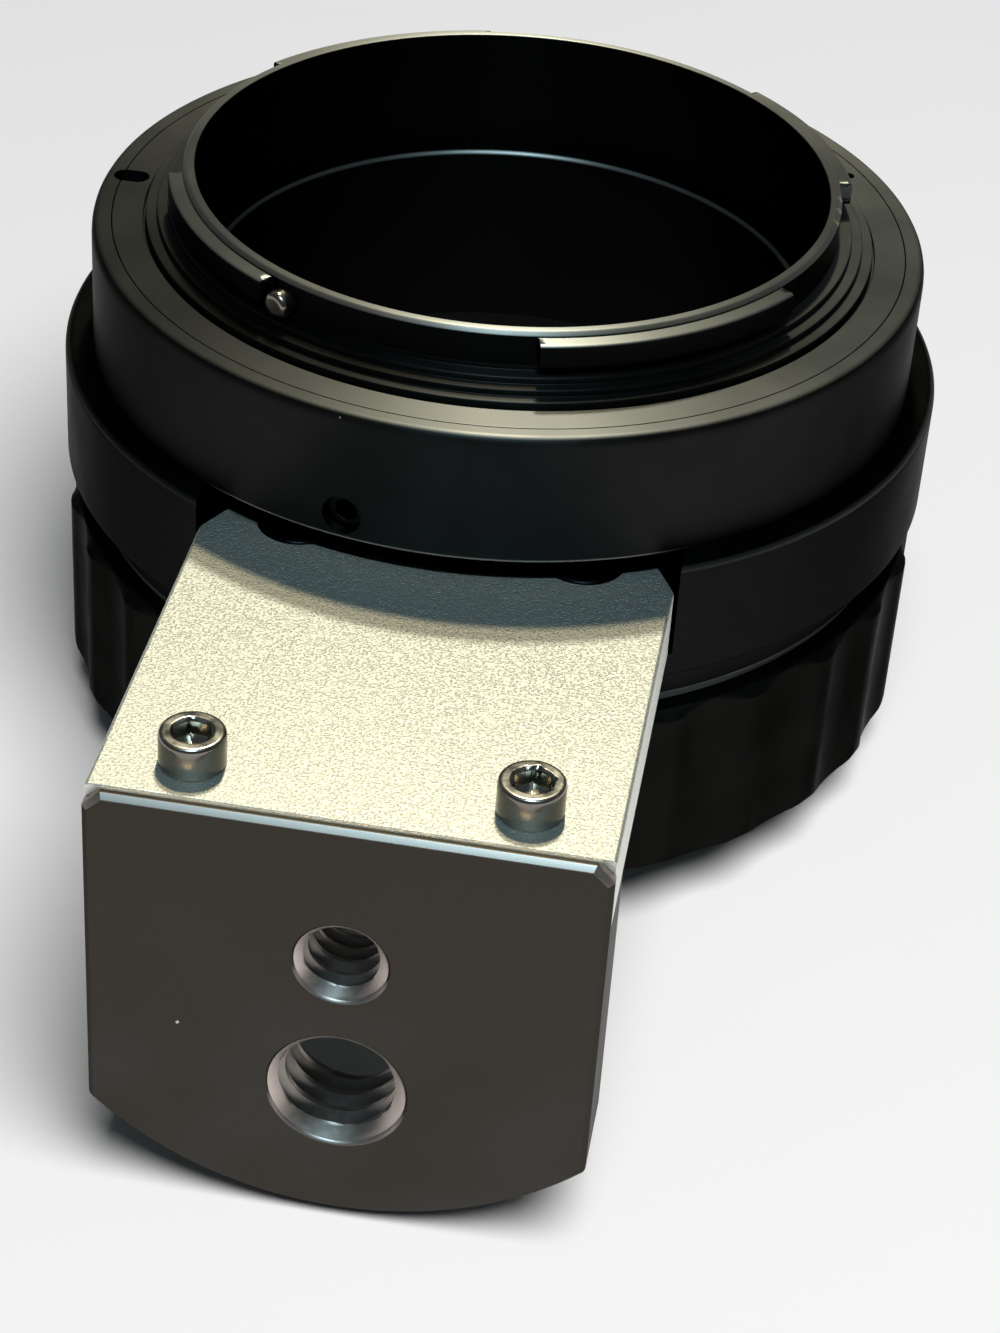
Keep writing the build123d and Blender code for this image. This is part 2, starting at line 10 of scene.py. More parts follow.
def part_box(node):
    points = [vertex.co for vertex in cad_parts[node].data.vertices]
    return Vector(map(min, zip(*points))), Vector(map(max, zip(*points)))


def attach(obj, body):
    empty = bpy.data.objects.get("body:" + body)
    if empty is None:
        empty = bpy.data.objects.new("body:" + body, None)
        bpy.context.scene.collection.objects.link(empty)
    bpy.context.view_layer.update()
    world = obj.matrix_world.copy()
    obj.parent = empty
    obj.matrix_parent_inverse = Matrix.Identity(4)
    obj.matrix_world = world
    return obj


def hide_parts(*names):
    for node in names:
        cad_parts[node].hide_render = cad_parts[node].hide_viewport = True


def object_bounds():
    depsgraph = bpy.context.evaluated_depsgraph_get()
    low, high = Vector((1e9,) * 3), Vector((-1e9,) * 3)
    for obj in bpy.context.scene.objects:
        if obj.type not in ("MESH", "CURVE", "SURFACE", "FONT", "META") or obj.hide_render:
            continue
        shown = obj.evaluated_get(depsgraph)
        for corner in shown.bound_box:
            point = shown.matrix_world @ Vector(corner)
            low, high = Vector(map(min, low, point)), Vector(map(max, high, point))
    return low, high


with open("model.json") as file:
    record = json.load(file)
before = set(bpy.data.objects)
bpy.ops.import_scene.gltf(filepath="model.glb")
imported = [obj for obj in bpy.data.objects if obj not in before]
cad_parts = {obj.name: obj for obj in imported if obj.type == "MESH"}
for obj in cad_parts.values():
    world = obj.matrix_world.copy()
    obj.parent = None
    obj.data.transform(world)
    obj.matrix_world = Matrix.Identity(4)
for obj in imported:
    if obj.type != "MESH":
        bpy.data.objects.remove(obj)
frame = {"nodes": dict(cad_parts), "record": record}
CAD_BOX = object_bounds()

bl_info = {
    "name": "Lens mount adapter",
    "version": (1, 0, 0),
    "blender": (4, 5, 0),
    "location": "3D View > Sidebar > Adapter",
    "description": "Builds the finished pieces, materials and stage of a lens mount adapter",
    "category": "Object",
}

MM = 0.001
BODY = "adapter_body"
RING = "grip_ring"
IMAGE_HEIGHT = 1333
SENSOR_HEIGHT = 36.0


def middle_of(node):
    """The middle of a solid's box."""
    low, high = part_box(node)
    return (low + high) / 2


def turn_of(node):
    """The angle about the optical axis at which a solid's middle lies."""
    middle = middle_of(node)
    return math.atan2(middle.y, middle.x)


def mount_named(name):
    """One of the record's mounts."""
    return next(mount for mount in frame["record"]["mounts"] if mount["name"] == name)


def mount_radius(name):
    """The radius of one of the record's round mounts, in millimetres."""
    return mount_named(name)["dims"]["r_mm"]


def mount_place(name):
    """The place of one of the record's mounts, in metres."""
    return Vector(mount_named(name)["pos_m"])


# Settings

def length(name, description, millimetres):
    """A length setting, its default given in millimetres."""
    return FloatProperty(
        name=name, description=description, default=millimetres * MM, unit="LENGTH", precision=5
    )


def angle(name, description, degrees):
    """An angle setting, its default given in degrees."""
    return FloatProperty(
        name=name, description=description, default=math.radians(degrees), unit="ROTATION"
    )


def colour(name, description, value):
    """A linear colour setting."""
    return FloatVectorProperty(
        name=name, description=description, default=value, size=3, subtype="COLOR", min=0, max=1
    )


def power(name, description, watts):
    """A lamp's power setting."""
    return FloatProperty(name=name, description=description, default=watts, unit="POWER")


def count(name, description, value):
    """A whole number setting."""
    return IntProperty(name=name, description=description, default=value, min=1)


class BayonetSizes(bpy.types.PropertyGroup):
    """Sizes of the bayonet mount, its stop pin and its flange."""

    throat: length("Throat", "Inside radius of the barrel", mount_radius("camera_throat"))
    wall: length("Barrel wall", "Thickness of the barrel above the flange", 0.9)
    rim_bevel: length("Rim bevel", "Bevel of the barrel's outer rim", 0.3)
    lug_bevel: length("Lug bevel", "Bevel of a lug's upper edge", 0.25)
    step_round: length("Step rounding", "Rounding of the register's steps", 0.14)
    nick_angle: angle("Nick angle", "Where the barrel's rim is nicked", 4.6)
    nick_spread: angle("Nick spread", "From one nick of the rim to the next", 4.4)
    nick_size: length("Nick size", "Size of one of the rim's nicks", 0.3)
    nicks: count("Nicks", "How many nicks the barrel's rim has", 3)
    worn_angle: angle("Worn end angle", "Where the end of the right rear lug is rubbed", 12.05)
    worn_size: length("Worn end size", "Size of that rubbed place", 1.0)
    lug_reach: length("Lug reach", "How far a lug stands out of the barrel", 1.1)
    lug_drop: length("Lug drop", "From the barrel's rim down to a lug's top", 0.4)
    lug_height: length("Lug height", "Thickness of a lug along the axis", 1.8)
    register_height: length("Register height", "Height of the stepped register", 1.5)
    register_run: length("Register run", "Width of one step of the register", 0.85)
    register_steps: count("Register steps", "How many steps the register has", 3)
    relief_width: length("Relief width", "Groove between register and flange", 0.2)
    relief_depth: length("Relief depth", "Depth of that groove", 0.3)
    ledge: length("Ledge", "Depth of the ledge inside the throat", 5.5)
    flange: length("Flange", "Thickness of the flange", 2.5)
    skirt_inset: length("Skirt inset", "From the flange's edge in to the skirt", 1.85)
    skirt_wall: length("Skirt wall", "Thickness of the skirt below the flange", 2.6)
    slot_width: length("Lock slot width", "Width of the lock pin's slot", 1.9)
    slot_length: length("Lock slot length", "Length of the lock pin's slot", 2.8)
    slot_inset: length("Lock slot inset", "From the flange's inner edge to the slot", 0.3)
    slot_depth: length("Lock slot depth", "Depth of the lock pin's slot", 2.0)
    slot_angle: angle("Lock slot angle", "Where the lock pin's slot lies", 181.0)
    dimple_radius: length("Dimple", "Radius of the index dimple", 0.5)
    dimple_depth: length("Dimple depth", "Depth of the index dimple", 0.6)
    dimple_angle: angle("Dimple angle", "Where the index dimple lies", 31.0)
    pin_angle: angle("Stop pin angle", "Where the stop pin lies", -121.5)
    pin_inset: length("Stop pin inset", "From the throat out to the pin's inner end", 0.15)
    pin_round: length("Stop pin rounding", "Rounding of the pin's domed end", 0.25)


class BodySizes(bpy.types.PropertyGroup):
    """Sizes of the housing, the main body and the screws in them."""

    rim_wall: length("Rim wall", "Width of the housing's rim outside the flange", 1.5)
    rim_round: length("Rim rounding", "Rounding of the housing's outer rim", 1.0)
    foot_round: length("Lower rounding", "Rounding of the housing's lower edge", 0.3)
    nick_angle: angle("Nick angle", "Where the housing's rim is nicked", -102.5)
    nick_size: length("Nick size", "Size of that nick", 0.14)
    slip: length("Slip fit", "Gap between turned pieces", 0.05)
    set_screw: length("Set screw", "Radius of the set screws' holes", 1.5)
    set_sunk: length("Set screw, outer end", "From the housing's side in to a set screw", 0.8)
    set_tip: length("Set screw, tip", "From the housing's side in to a set screw's tip", 3.35)
    set_socket: length("Set screw socket", "Hexagon across flats", 1.5)
    set_socket_depth: length("Set socket depth", "Depth of the hexagon", 1.3)
    bore: length("Bore", "Inside radius of the body below the throat", 23.0)
    ledge_round: length("Ledge rounding", "Rounding of the body's inner upper edge", 0.48)
    collar_height: length("Collar height", "Height of the collar", 9.3)
    collar_round: length("Collar rounding", "Rounding of the collar's upper edge", 0.6)
    collar_foot_round: length("Collar's lower rounding", "Rounding of its lower edge", 0.3)
    groove_radius: length("Groove radius", "Radius of the groove under the collar", 32.25)
    groove_height: length("Groove height", "Height of the groove under the collar", 3.0)
    barrel_radius: length("Ring barrel", "Radius that the lock ring turns on", 30.0)
    counterbore: length("Counterbore", "Inside radius behind the lens seat", 27.5)
    counterbore_depth: length("Counterbore depth", "From the lens seat in", 11.0)
    pocket_gap: length("Pocket gap", "Gap beside the foot in its pocket", 0.3)
    skin: length("Skin", "How far the collar's finished face lies inside the solid's", 0.01)
    stop_groove_depth: length("Stop groove depth", "Depth of the stop screw's groove", 1.4)
    stop_groove_gap: length("Stop groove gap", "Gap around the stop screw in its groove", 0.2)
    stop_travel: angle("Stop travel", "How far the stop screw travels in its groove", 45.0)


class FootSizes(bpy.types.PropertyGroup):
    """Sizes of the foot's threads and screws."""

    quarter_pitch: length("Small thread pitch", "Pitch of the smaller tripod thread", 1.27)
    large_pitch: length("Large thread pitch", "Pitch of the larger tripod thread", 1.5875)
    mouth: length("Thread mouth", "Depth of the bevel at a thread's mouth", 0.2)
    arm_break: length("Arm edges", "Easing of the arm's edges", 0.1)
    plate_break: length("Plate edges", "Easing of the plate's edges", 0.05)
    plate_socket: length("Plate screw socket", "Hexagon across flats", 2.3)
    plate_socket_depth: length("Plate socket depth", "Depth of the hexagon", 1.2)
    plate_head: length("Plate screw head", "Height of the head", 2.5)
    tail_socket: length("Tail screw socket", "Hexagon across flats", 2.5)
    tail_socket_depth: length("Tail socket depth", "Depth of the hexagon", 1.4)
    tail_head: length("Tail screw head", "Height of the head", 3.0)
    head_round: length("Head rounding", "Rounding of a screw head's upper edge", 0.42)
    nick_offset: length("Nick offset", "From the plate's middle to the nick in its front", 10.96)
    nick_size: length("Nick size", "Size of that nick", 0.12)
    plate_shank: length("Plate screw shank", "Radius of the shank", 1.22)
    tail_shank: length("Tail screw shank", "Radius of the shank", 1.47)


class LockRingSizes(bpy.types.PropertyGroup):
    """Sizes of the scalloped lock ring."""

    grip: length("Grip radius", "Outside radius of the grip's lands", 34.1)
    flutes: count("Flutes", "How many flutes the grip has", 28)
    flute_width: length("Flute width", "Width of a flute", 7.0)
    flute_depth: length("Flute depth", "Depth of a flute", 0.6)
    top_bevel: length("Top bevel", "Bevel of the grip's upper edge", 0.7)
    bottom_round: length("Bottom rounding", "Rounding of the grip's lower edge", 0.8)
    top_rise: length("Top rise", "From the washer's seat up to the grip's top", 0.3)
    bearing: length("Bearing", "Inside radius that runs on the body", 30.05)
    rib_bottom: length("Rib bottom", "Height of the rib's underside above the seat", 3.2)
    counterbore: length("Counterbore", "Inside radius around the lens flange", 31.4)
    washer_recess: length("Washer recess", "Inside radius around the friction washer", 32.25)
    tabs: count("Tabs", "How many tabs clamp the lens", 4)
    tab_width: angle("Tab width", "Width of one tab", 40.0)
    tab_reach: length("Tab reach", "How far a tab stands in", 2.8)
    tab_height: length("Tab height", "Thickness of a tab", 2.3)
    tab_rise: length("Tab rise", "From the grip's bottom up to a tab", 0.5)
    screw_hole: length("Stop screw hole", "Radius of the stop screw's hole", 1.0)


class FinishColours(bpy.types.PropertyGroup):
    """Colours of the finishes."""

    black: colour("Black", "Satin black anodised aluminium", (0.0182, 0.0183, 0.0178))
    # Grey of rubbed black, also painted as a sheen on faces that look up and as highlights on some edges
    satin: colour("Satin", "Black anodised aluminium that is rubbed grey", (0.158, 0.159, 0.152))
    edge_tint: colour("Edge tint", "Sheen of the dark finishes at a flat angle", (0.45, 0.45, 0.45))
    grip: colour("Grip", "Matt black of the lock ring", (0.0085, 0.0082, 0.0077))
    # Also painted as highlights on the plate's upward bevelled edges and on the housing's lower edge above
    # the arm
    bare: colour("Bare metal", "Aluminium where the black is chipped", (0.63, 0.55, 0.50))
    blasted: colour("Blasted", "Bead blasted aluminium of the arm", (0.80, 0.795, 0.735))
    plate: colour("Plate", "Smooth grey of the foot plate at its top", (0.049, 0.0425, 0.0345))
    plate_low: colour("Plate, low", "Smooth grey of the foot plate at its bottom", (0.060, 0.059, 0.056))
    nickel: colour("Nickel", "Plated steel of screws and pins", (0.62, 0.57, 0.49))
    # Darker than the bare mouth: painted shade deeper in the tripod holes
    thread: colour("Thread", "Stained cut metal of the tripod threads", (0.37, 0.33, 0.30))
    stain: colour("Stain", "Brown stain in the screw sockets", (0.16, 0.10, 0.045))
    seat: colour("Seat steel", "Ground steel of the lens seat", (0.50, 0.50, 0.505))
    oxide: colour("Black oxide", "Blackened steel of the hidden screws", (0.008, 0.008, 0.009))
    nylon: colour("Nylon", "The friction washer", (0.70, 0.69, 0.64))
    brass: colour("Brass", "The seat's shim", (0.66, 0.48, 0.20))
    floor: colour("Floor", "The plain floor", (0.82, 0.82, 0.82))
    lamp: colour("Lamp", "Light of the lower lamp behind the object", (1.0, 0.99, 0.80))
    upper_lamp: colour("Upper lamp", "Light of the upper lamp behind the object", (1.0, 0.86, 0.55))
    fill: colour("Fill", "Light of the room", (0.74, 0.92, 1.0))
    window: colour("Window", "Cool light from above the camera", (0.58, 0.865, 1.0))
    floor_lamp: colour("Floor lamp", "Light of the soft lamp above the floor", (1.0, 0.99, 0.985))


class StageSettings(bpy.types.PropertyGroup):
    """The camera, the floor and the lights."""

    camera_x: length("Camera X", "Place of the camera", 26.94)
    camera_y: length("Camera Y", "Place of the camera", -210.47)
    camera_z: length("Camera Z", "Place of the camera", 110.52)
    camera_pitch: angle("Camera pitch", "How far the camera looks down", -35.75)
    camera_heading: angle("Camera heading", "How far the camera looks to the left", -6.84)
    camera_roll: angle("Camera roll", "How far the camera is turned about its view", 4.12)
    focal_pixels: FloatProperty(
        name="Focal length", description="Focal length in pixels of the photograph", default=3073.4
    )
    floor_reach: FloatProperty(
        name="Floor reach", description="Half the floor's width", default=3.0, unit="LENGTH"
    )
    lamp_distance: length("Lamp distance", "From the object to the two lamps behind it", 700)
    lamp_size: length("Lamp size", "Width of each of those lamps", 48)
    lamp_rise: angle("Lamp rise", "Height of the lower lamp above the horizon", 58.8)
    lamp_turn: angle("Lamp turn", "How far it stands to the left of straight behind", 4.9)
    lamp_power: power("Lamp power", "Power of the lower lamp", 1.66)
    upper_rise: angle("Upper lamp rise", "Height of the upper lamp above the horizon", 65.7)
    upper_turn: angle("Upper lamp turn", "How far it stands to the left of straight behind", 7.8)
    upper_power: power("Upper lamp power", "Power of the upper lamp", 1.15)
    window_distance: length("Window distance", "From the object to the window", 800)
    window_size: length("Window size", "Width of the window", 300)
    window_rise: angle("Window rise", "Height of the window above the horizon", 62.0)
    window_turn: angle("Window turn", "How far it stands to the right of straight in front", 8.0)
    window_power: power("Window power", "Power of the cool light above the camera", 2.5)
    fill_strength: FloatProperty(name="Fill", description="Strength of the room's light", default=0.055)
    floor_distance: length("Floor lamp distance", "From the object to the floor's lamp", 900)
    floor_size: length("Floor lamp size", "Width of the floor's lamp", 600)
    floor_rise: angle("Floor lamp rise", "Height of the floor's lamp above the horizon", 64.0)
    floor_turn: angle("Floor lamp turn", "How far it stands to the right of straight in front", 34.0)
    floor_power: power("Floor lamp power", "Power of the floor's lamp", 10.5)


class AdapterSettings(bpy.types.PropertyGroup):
    """All the settings of the adapter."""

    bayonet: PointerProperty(type=BayonetSizes)
    body: PointerProperty(type=BodySizes)
    foot: PointerProperty(type=FootSizes)
    ring: PointerProperty(type=LockRingSizes)
    colours: PointerProperty(type=FinishColours)
    stage: PointerProperty(type=StageSettings)


def settings():
    """The scene's adapter settings."""
    return bpy.context.scene.lens_adapter


# Mesh helpers

# Roundings of fine and eased edges, and the distance at which points are one
FINE = 0.06 * MM
EASED = 0.12 * MM
MERGE = 0.0002 * MM

# Angles between faces that are shaded as an edge, that get an easing, and that count as flat
SHARP = math.radians(38)
CREASE = math.radians(25)
FLAT = math.radians(0.1)

# The most of a side that a corner's rounding takes, and takes with the flat strip beside it
ROUND_SHARE = 0.4
STRIP_SHARE = 0.48

# Steps over a sector's edge: how far from it in ramps, and how far inside that is
RAMP_STEPS = ((-1, 0.0), (-0.5, 0.1), (0.5, 0.9), (1, 1.0))

CORNER_STEPS = 5
ARC_STEPS = 40
RING_SEGMENTS = 300
FLUTE_SEGMENTS = 16
SCREW_SEGMENTS = 96
THREAD_SEGMENTS = 96
THREAD_ROWS = 16
HOLE_SEGMENTS = 48
DIMPLE_SEGMENTS = 32


def softened(corners):
    """Points of an outline whose (along, up, reach) corners are each rounded over their reach."""
    points = []
    for index, (along, up, reach) in enumerate(corners):
        corner = Vector((along, up))
        before = Vector(corners[index - 1][:2]) - corner
        after = Vector(corners[(index + 1) % len(corners)][:2]) - corner
        start = before.normalized() * min(reach, before.length * ROUND_SHARE)
        end = after.normalized() * min(reach, after.length * ROUND_SHARE)
        points.append(corner + before.normalized() * min(2 * reach, before.length * STRIP_SHARE))
        for step in range(CORNER_STEPS + 1):
            part = step / CORNER_STEPS
            points.append(corner + start * (1 - part) ** 2 + end * part**2)
        points.append(corner + after.normalized() * min(2 * reach, after.length * STRIP_SHARE))
    return points


def ring_mesh(name, sections, closed=True, joined=True):
    """A mesh through half-sections about Z, each an angle and its points of radius and height."""
    rows = len(sections[0][1])
    vertices = []
    for turn, points in sections:
        vertices += [(r * math.cos(turn), r * math.sin(turn), z) for r, z in points]
    faces = []
    for index in range(len(sections) if joined else len(sections) - 1):
        here = index * rows
        there = (index + 1) % len(sections) * rows
        for row in range(rows if closed else rows - 1):
            after = (row + 1) % rows
            faces.append((here + row, there + row, there + after, here + after))
    mesh = bpy.data.meshes.new(name)
    mesh.from_pydata(vertices, [], faces)
    return tidy_mesh(mesh)


def tidy_mesh(mesh):
    """Merges doubled points and turns every face outwards."""
    work = bmesh.new()
    work.from_mesh(mesh)
    bmesh.ops.remove_doubles(work, verts=work.verts, dist=MERGE)
    bmesh.ops.recalc_face_normals(work, faces=work.faces)
    work.to_mesh(mesh)
    work.free()
    return mesh


def even_turns(segments):
    """Angles evenly spaced round the axis."""
    return [2 * math.pi * index / segments for index in range(segments)]


def wrapped(turn):
    """An angle brought between minus and plus half a turn."""
    return (turn + math.pi) % (2 * math.pi) - math.pi


def lathe_mesh(name, outline, segments=RING_SEGMENTS, closed=True):
    """A mesh of one half-section turned about Z."""
    return ring_mesh(name, [(turn, outline) for turn in even_turns(segments)], closed)


def sector_turns(sectors, segments, ramp):
    """Angles round the axis, each with how far it is inside one of the (centre, width) sectors."""
    edges = []
    turns = []
    for centre, width in sectors:
        for edge, side in ((centre - width / 2, 1), (centre + width / 2, -1)):
            edges.append(edge)
            turns += [(wrapped(edge + side * offset * ramp), inside) for offset, inside in RAMP_STEPS]
    for turn in even_turns(segments):
        if min(abs(wrapped(turn - edge)) for edge in edges) > 2 * ramp:
            inside = any(abs(wrapped(turn - centre)) < width / 2 for centre, width in sectors)
            turns.append((wrapped(turn), float(inside)))
    return sorted(turns)


def between(plain, other, part):
    """The outline that lies part of the way from one outline to another."""
    return [first.lerp(second, part) for first, second in zip(plain, other)]


def prism_mesh(name, outline, bottom, top):
    """A closed mesh of a flat outline raised from one height to another."""
    work = bmesh.new()
    face = work.faces.new([work.verts.new((x, y, bottom)) for x, y in outline])
    raised = bmesh.ops.extrude_face_region(work, geom=[face])
    for part in raised["geom"]:
        if isinstance(part, bmesh.types.BMVert):
            part.co.z = top
    bmesh.ops.recalc_face_normals(work, faces=work.faces)
    mesh = bpy.data.meshes.new(name)
    work.to_mesh(mesh)
    work.free()
    return mesh


def circle_points(radius, segments):
    """Points of a circle about the origin."""
    return [(radius * math.cos(turn), radius * math.sin(turn)) for turn in even_turns(segments)]


def polar(radius, turn, height):
    """A point from its radius, its angle and its height."""
    return Vector((radius * math.cos(turn), radius * math.sin(turn), height))


def radial_place(turn, radius, height):
    """A placing whose Z axis points straight out from the optical axis."""
    out = Vector((math.cos(turn), math.sin(turn), 0))
    side = Vector((-math.sin(turn), math.cos(turn), 0))
    place = Matrix((side, Vector((0, 0, 1)), out)).transposed().to_4x4()
    place.translation = out * radius + Vector((0, 0, height))
    return place


def add_object(name, data):
    """A new object of a mesh, a lamp or a camera, at the origin."""
    piece = bpy.data.objects.new(name, data)
    bpy.context.scene.collection.objects.link(piece)
    return piece


def cut(piece, cutters):
    """Cuts closed meshes out of a piece."""
    for cutter in cutters:
        knife = add_object("cutter", cutter)
        modifier = piece.modifiers.new("cut", "BOOLEAN")
        modifier.operation = "DIFFERENCE"
        modifier.solver = "EXACT"
        modifier.object = knife
        graph = bpy.context.evaluated_depsgraph_get()
        mesh = bpy.data.meshes.new_from_object(piece.evaluated_get(graph))
        piece.modifiers.clear()
        piece.data = mesh
        bpy.data.objects.remove(knife)


def eased_copy(node, reach):
    """A copy of a solid's mesh with its sharp edges eased and its stored normals dropped."""
    work = bmesh.new()
    work.from_mesh(frame["nodes"][node].data)
    bmesh.ops.remove_doubles(work, verts=work.verts, dist=MERGE)
    bmesh.ops.dissolve_limit(work, angle_limit=FLAT, verts=work.verts, edges=work.edges)
    sharp = [edge for edge in work.edges if edge.calc_face_angle(0) > CREASE]
    bmesh.ops.bevel(
        work, geom=sharp, offset=reach, offset_type="OFFSET", segments=2, profile=0.5, affect="EDGES"
    )
    bmesh.ops.recalc_face_normals(work, faces=work.faces)
    mesh = bpy.data.meshes.new(node)
    work.to_mesh(mesh)
    work.free()
    if "custom_normal" in mesh.attributes:
        mesh.attributes.remove(mesh.attributes["custom_normal"])
    return mesh


def dress(piece, body, finish, nodes=()):
    """Gives a piece its finish, its shading and its place on a body."""
    piece.data.materials.clear()
    piece.data.materials.append(finish_of(finish))
    piece.data.shade_smooth()
    piece.data.set_sharp_from_angle(angle=SHARP)
    normals = piece.modifiers.new("even normals", "WEIGHTED_NORMAL")
    normals.keep_sharp = True
    if nodes:
        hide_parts(*nodes)
    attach(piece, body)


def coat_node(node, finish):
    """Gives a solid that stays as it is a finish."""
    mesh = frame["nodes"][node].data
    mesh.materials.clear()
    mesh.materials.append(finish_of(finish))


# Shader node groups

QUARTER_TURN = 0.25

# Heights that all of the adapter lies between
BELOW_ALL = CAD_BOX[0][2] - MM
ABOVE_ALL = CAD_BOX[1][2] + MM


def new_group(name, inputs, outputs):
    """An empty shader node group with named sockets."""
    group = bpy.data.node_groups.new(name, "ShaderNodeTree")
    for title, kind, value in inputs:
        socket = group.interface.new_socket(title, in_out="INPUT", socket_type=kind)
        if value is not None:
            socket.default_value = value
    for title, kind in outputs:
        group.interface.new_socket(title, in_out="OUTPUT", socket_type=kind)
    return group, group.nodes.new("NodeGroupInput"), group.nodes.new("NodeGroupOutput")


def add_math(tree, operation, first, second):
    """A math node whose inputs are sockets or numbers; its result."""
    node = tree.nodes.new("ShaderNodeMath")
    node.operation = operation
    for socket, value in zip(node.inputs, (first, second)):
        if isinstance(value, bpy.types.NodeSocket):
            tree.links.new(value, socket)
        else:
            socket.default_value = value
    return node.outputs[0]


def add_noise(tree, vector, scale, detail):
    """A noise texture on a vector; its value."""
    node = tree.nodes.new("ShaderNodeTexNoise")
    node.inputs["Detail"].default_value = detail
    tree.links.new(vector, node.inputs["Vector"])
    if isinstance(scale, bpy.types.NodeSocket):
        tree.links.new(scale, node.inputs["Scale"])
    else:
        node.inputs["Scale"].default_value = scale
    return node.outputs[0]


def add_range(tree, value, low, high, first=0.0, last=1.0):
    """A value mapped from one range to another and clamped; its result."""
    node = tree.nodes.new("ShaderNodeMapRange")
    tree.links.new(value, node.inputs["Value"])
    node.inputs["From Min"].default_value = low
    node.inputs["From Max"].default_value = high
    node.inputs["To Min"].default_value = first
    node.inputs["To Max"].default_value = last
    return node.outputs["Result"]


def add_mix(tree, factor, first, second):
    """A colour mixed from two colours or sockets by a factor; its result."""
    node = tree.nodes.new("ShaderNodeMix")
    node.data_type = "RGBA"
    tree.links.new(factor, node.inputs["Factor"])
    for socket, value in ((node.inputs[6], first), (node.inputs[7], second)):
        if isinstance(value, bpy.types.NodeSocket):
            tree.links.new(value, socket)
        else:
            socket.default_value = (*value, 1)
    return node.outputs[2]


def grain_group():
    """Fine grain, its size in millimetres: a height and a tone about one half."""
    group, given, made = new_group(
        "Fine grain",
        [("Vector", "NodeSocketVector", None), ("Size", "NodeSocketFloat", 0.2)],
        [("Height", "NodeSocketFloat"), ("Tone", "NodeSocketFloat")],
    )
    coarse_size = 0.37
    coarse_share = 0.5
    vector = given.outputs["Vector"]
    scale = add_math(group, "DIVIDE", 1 / MM, given.outputs["Size"])
    fine = add_noise(group, vector, scale, detail=2.0)
    coarse = add_noise(group, vector, add_math(group, "MULTIPLY", scale, coarse_size), detail=1.0)
    height = add_math(group, "ADD", fine, add_math(group, "MULTIPLY", coarse, coarse_share))
    group.links.new(height, made.inputs["Height"])
    group.links.new(add_range(group, fine, 0.3, 0.7), made.inputs["Tone"])
    return group


def handling_group():
    """Soft marks of handling a few millimetres wide: a tone from nought to one."""
    group, given, made = new_group(
        "Handling marks",
        [("Vector", "NodeSocketVector", None), ("Size", "NodeSocketFloat", 6.0)],
        [("Tone", "NodeSocketFloat")],
    )
    scale = add_math(group, "DIVIDE", 1 / MM, given.outputs["Size"])
    clouds = add_noise(group, given.outputs["Vector"], scale, detail=5.0)
    group.links.new(add_range(group, clouds, 0.35, 0.68), made.inputs["Tone"])
    return group


def nick_group():
    """One small nick of uneven outline, its size in millimetres: a mask of bare metal."""
    group, given, made = new_group(
        "Nick",
        [
            ("Vector", "NodeSocketVector", None),
            ("Place", "NodeSocketVector", None),
            ("Size", "NodeSocketFloat", 0.2),
        ],
        [("Mask", "NodeSocketFloat")],
    )
    distance = group.nodes.new("ShaderNodeVectorMath")
    distance.operation = "DISTANCE"
    group.links.new(given.outputs["Vector"], distance.inputs[0])
    group.links.new(given.outputs["Place"], distance.inputs[1])
    outline_scale = 5200.0
    ragged = add_noise(group, given.outputs["Vector"], outline_scale, detail=2.0)
    uneven = add_range(group, ragged, 0.3, 0.7, 0.4, 1.5)
    reach = add_math(group, "MULTIPLY", add_math(group, "MULTIPLY", given.outputs["Size"], MM), uneven)
    inside = add_math(group, "LESS_THAN", distance.outputs["Value"], reach)
    group.links.new(inside, made.inputs["Mask"])
    return group


SHARED_GROUPS = {"Fine grain": grain_group, "Handling marks": handling_group, "Nick": nick_group}


def shared_group(name):
    """A node group made once and used by every material."""
    return bpy.data.node_groups.get(name) or SHARED_GROUPS[name]()


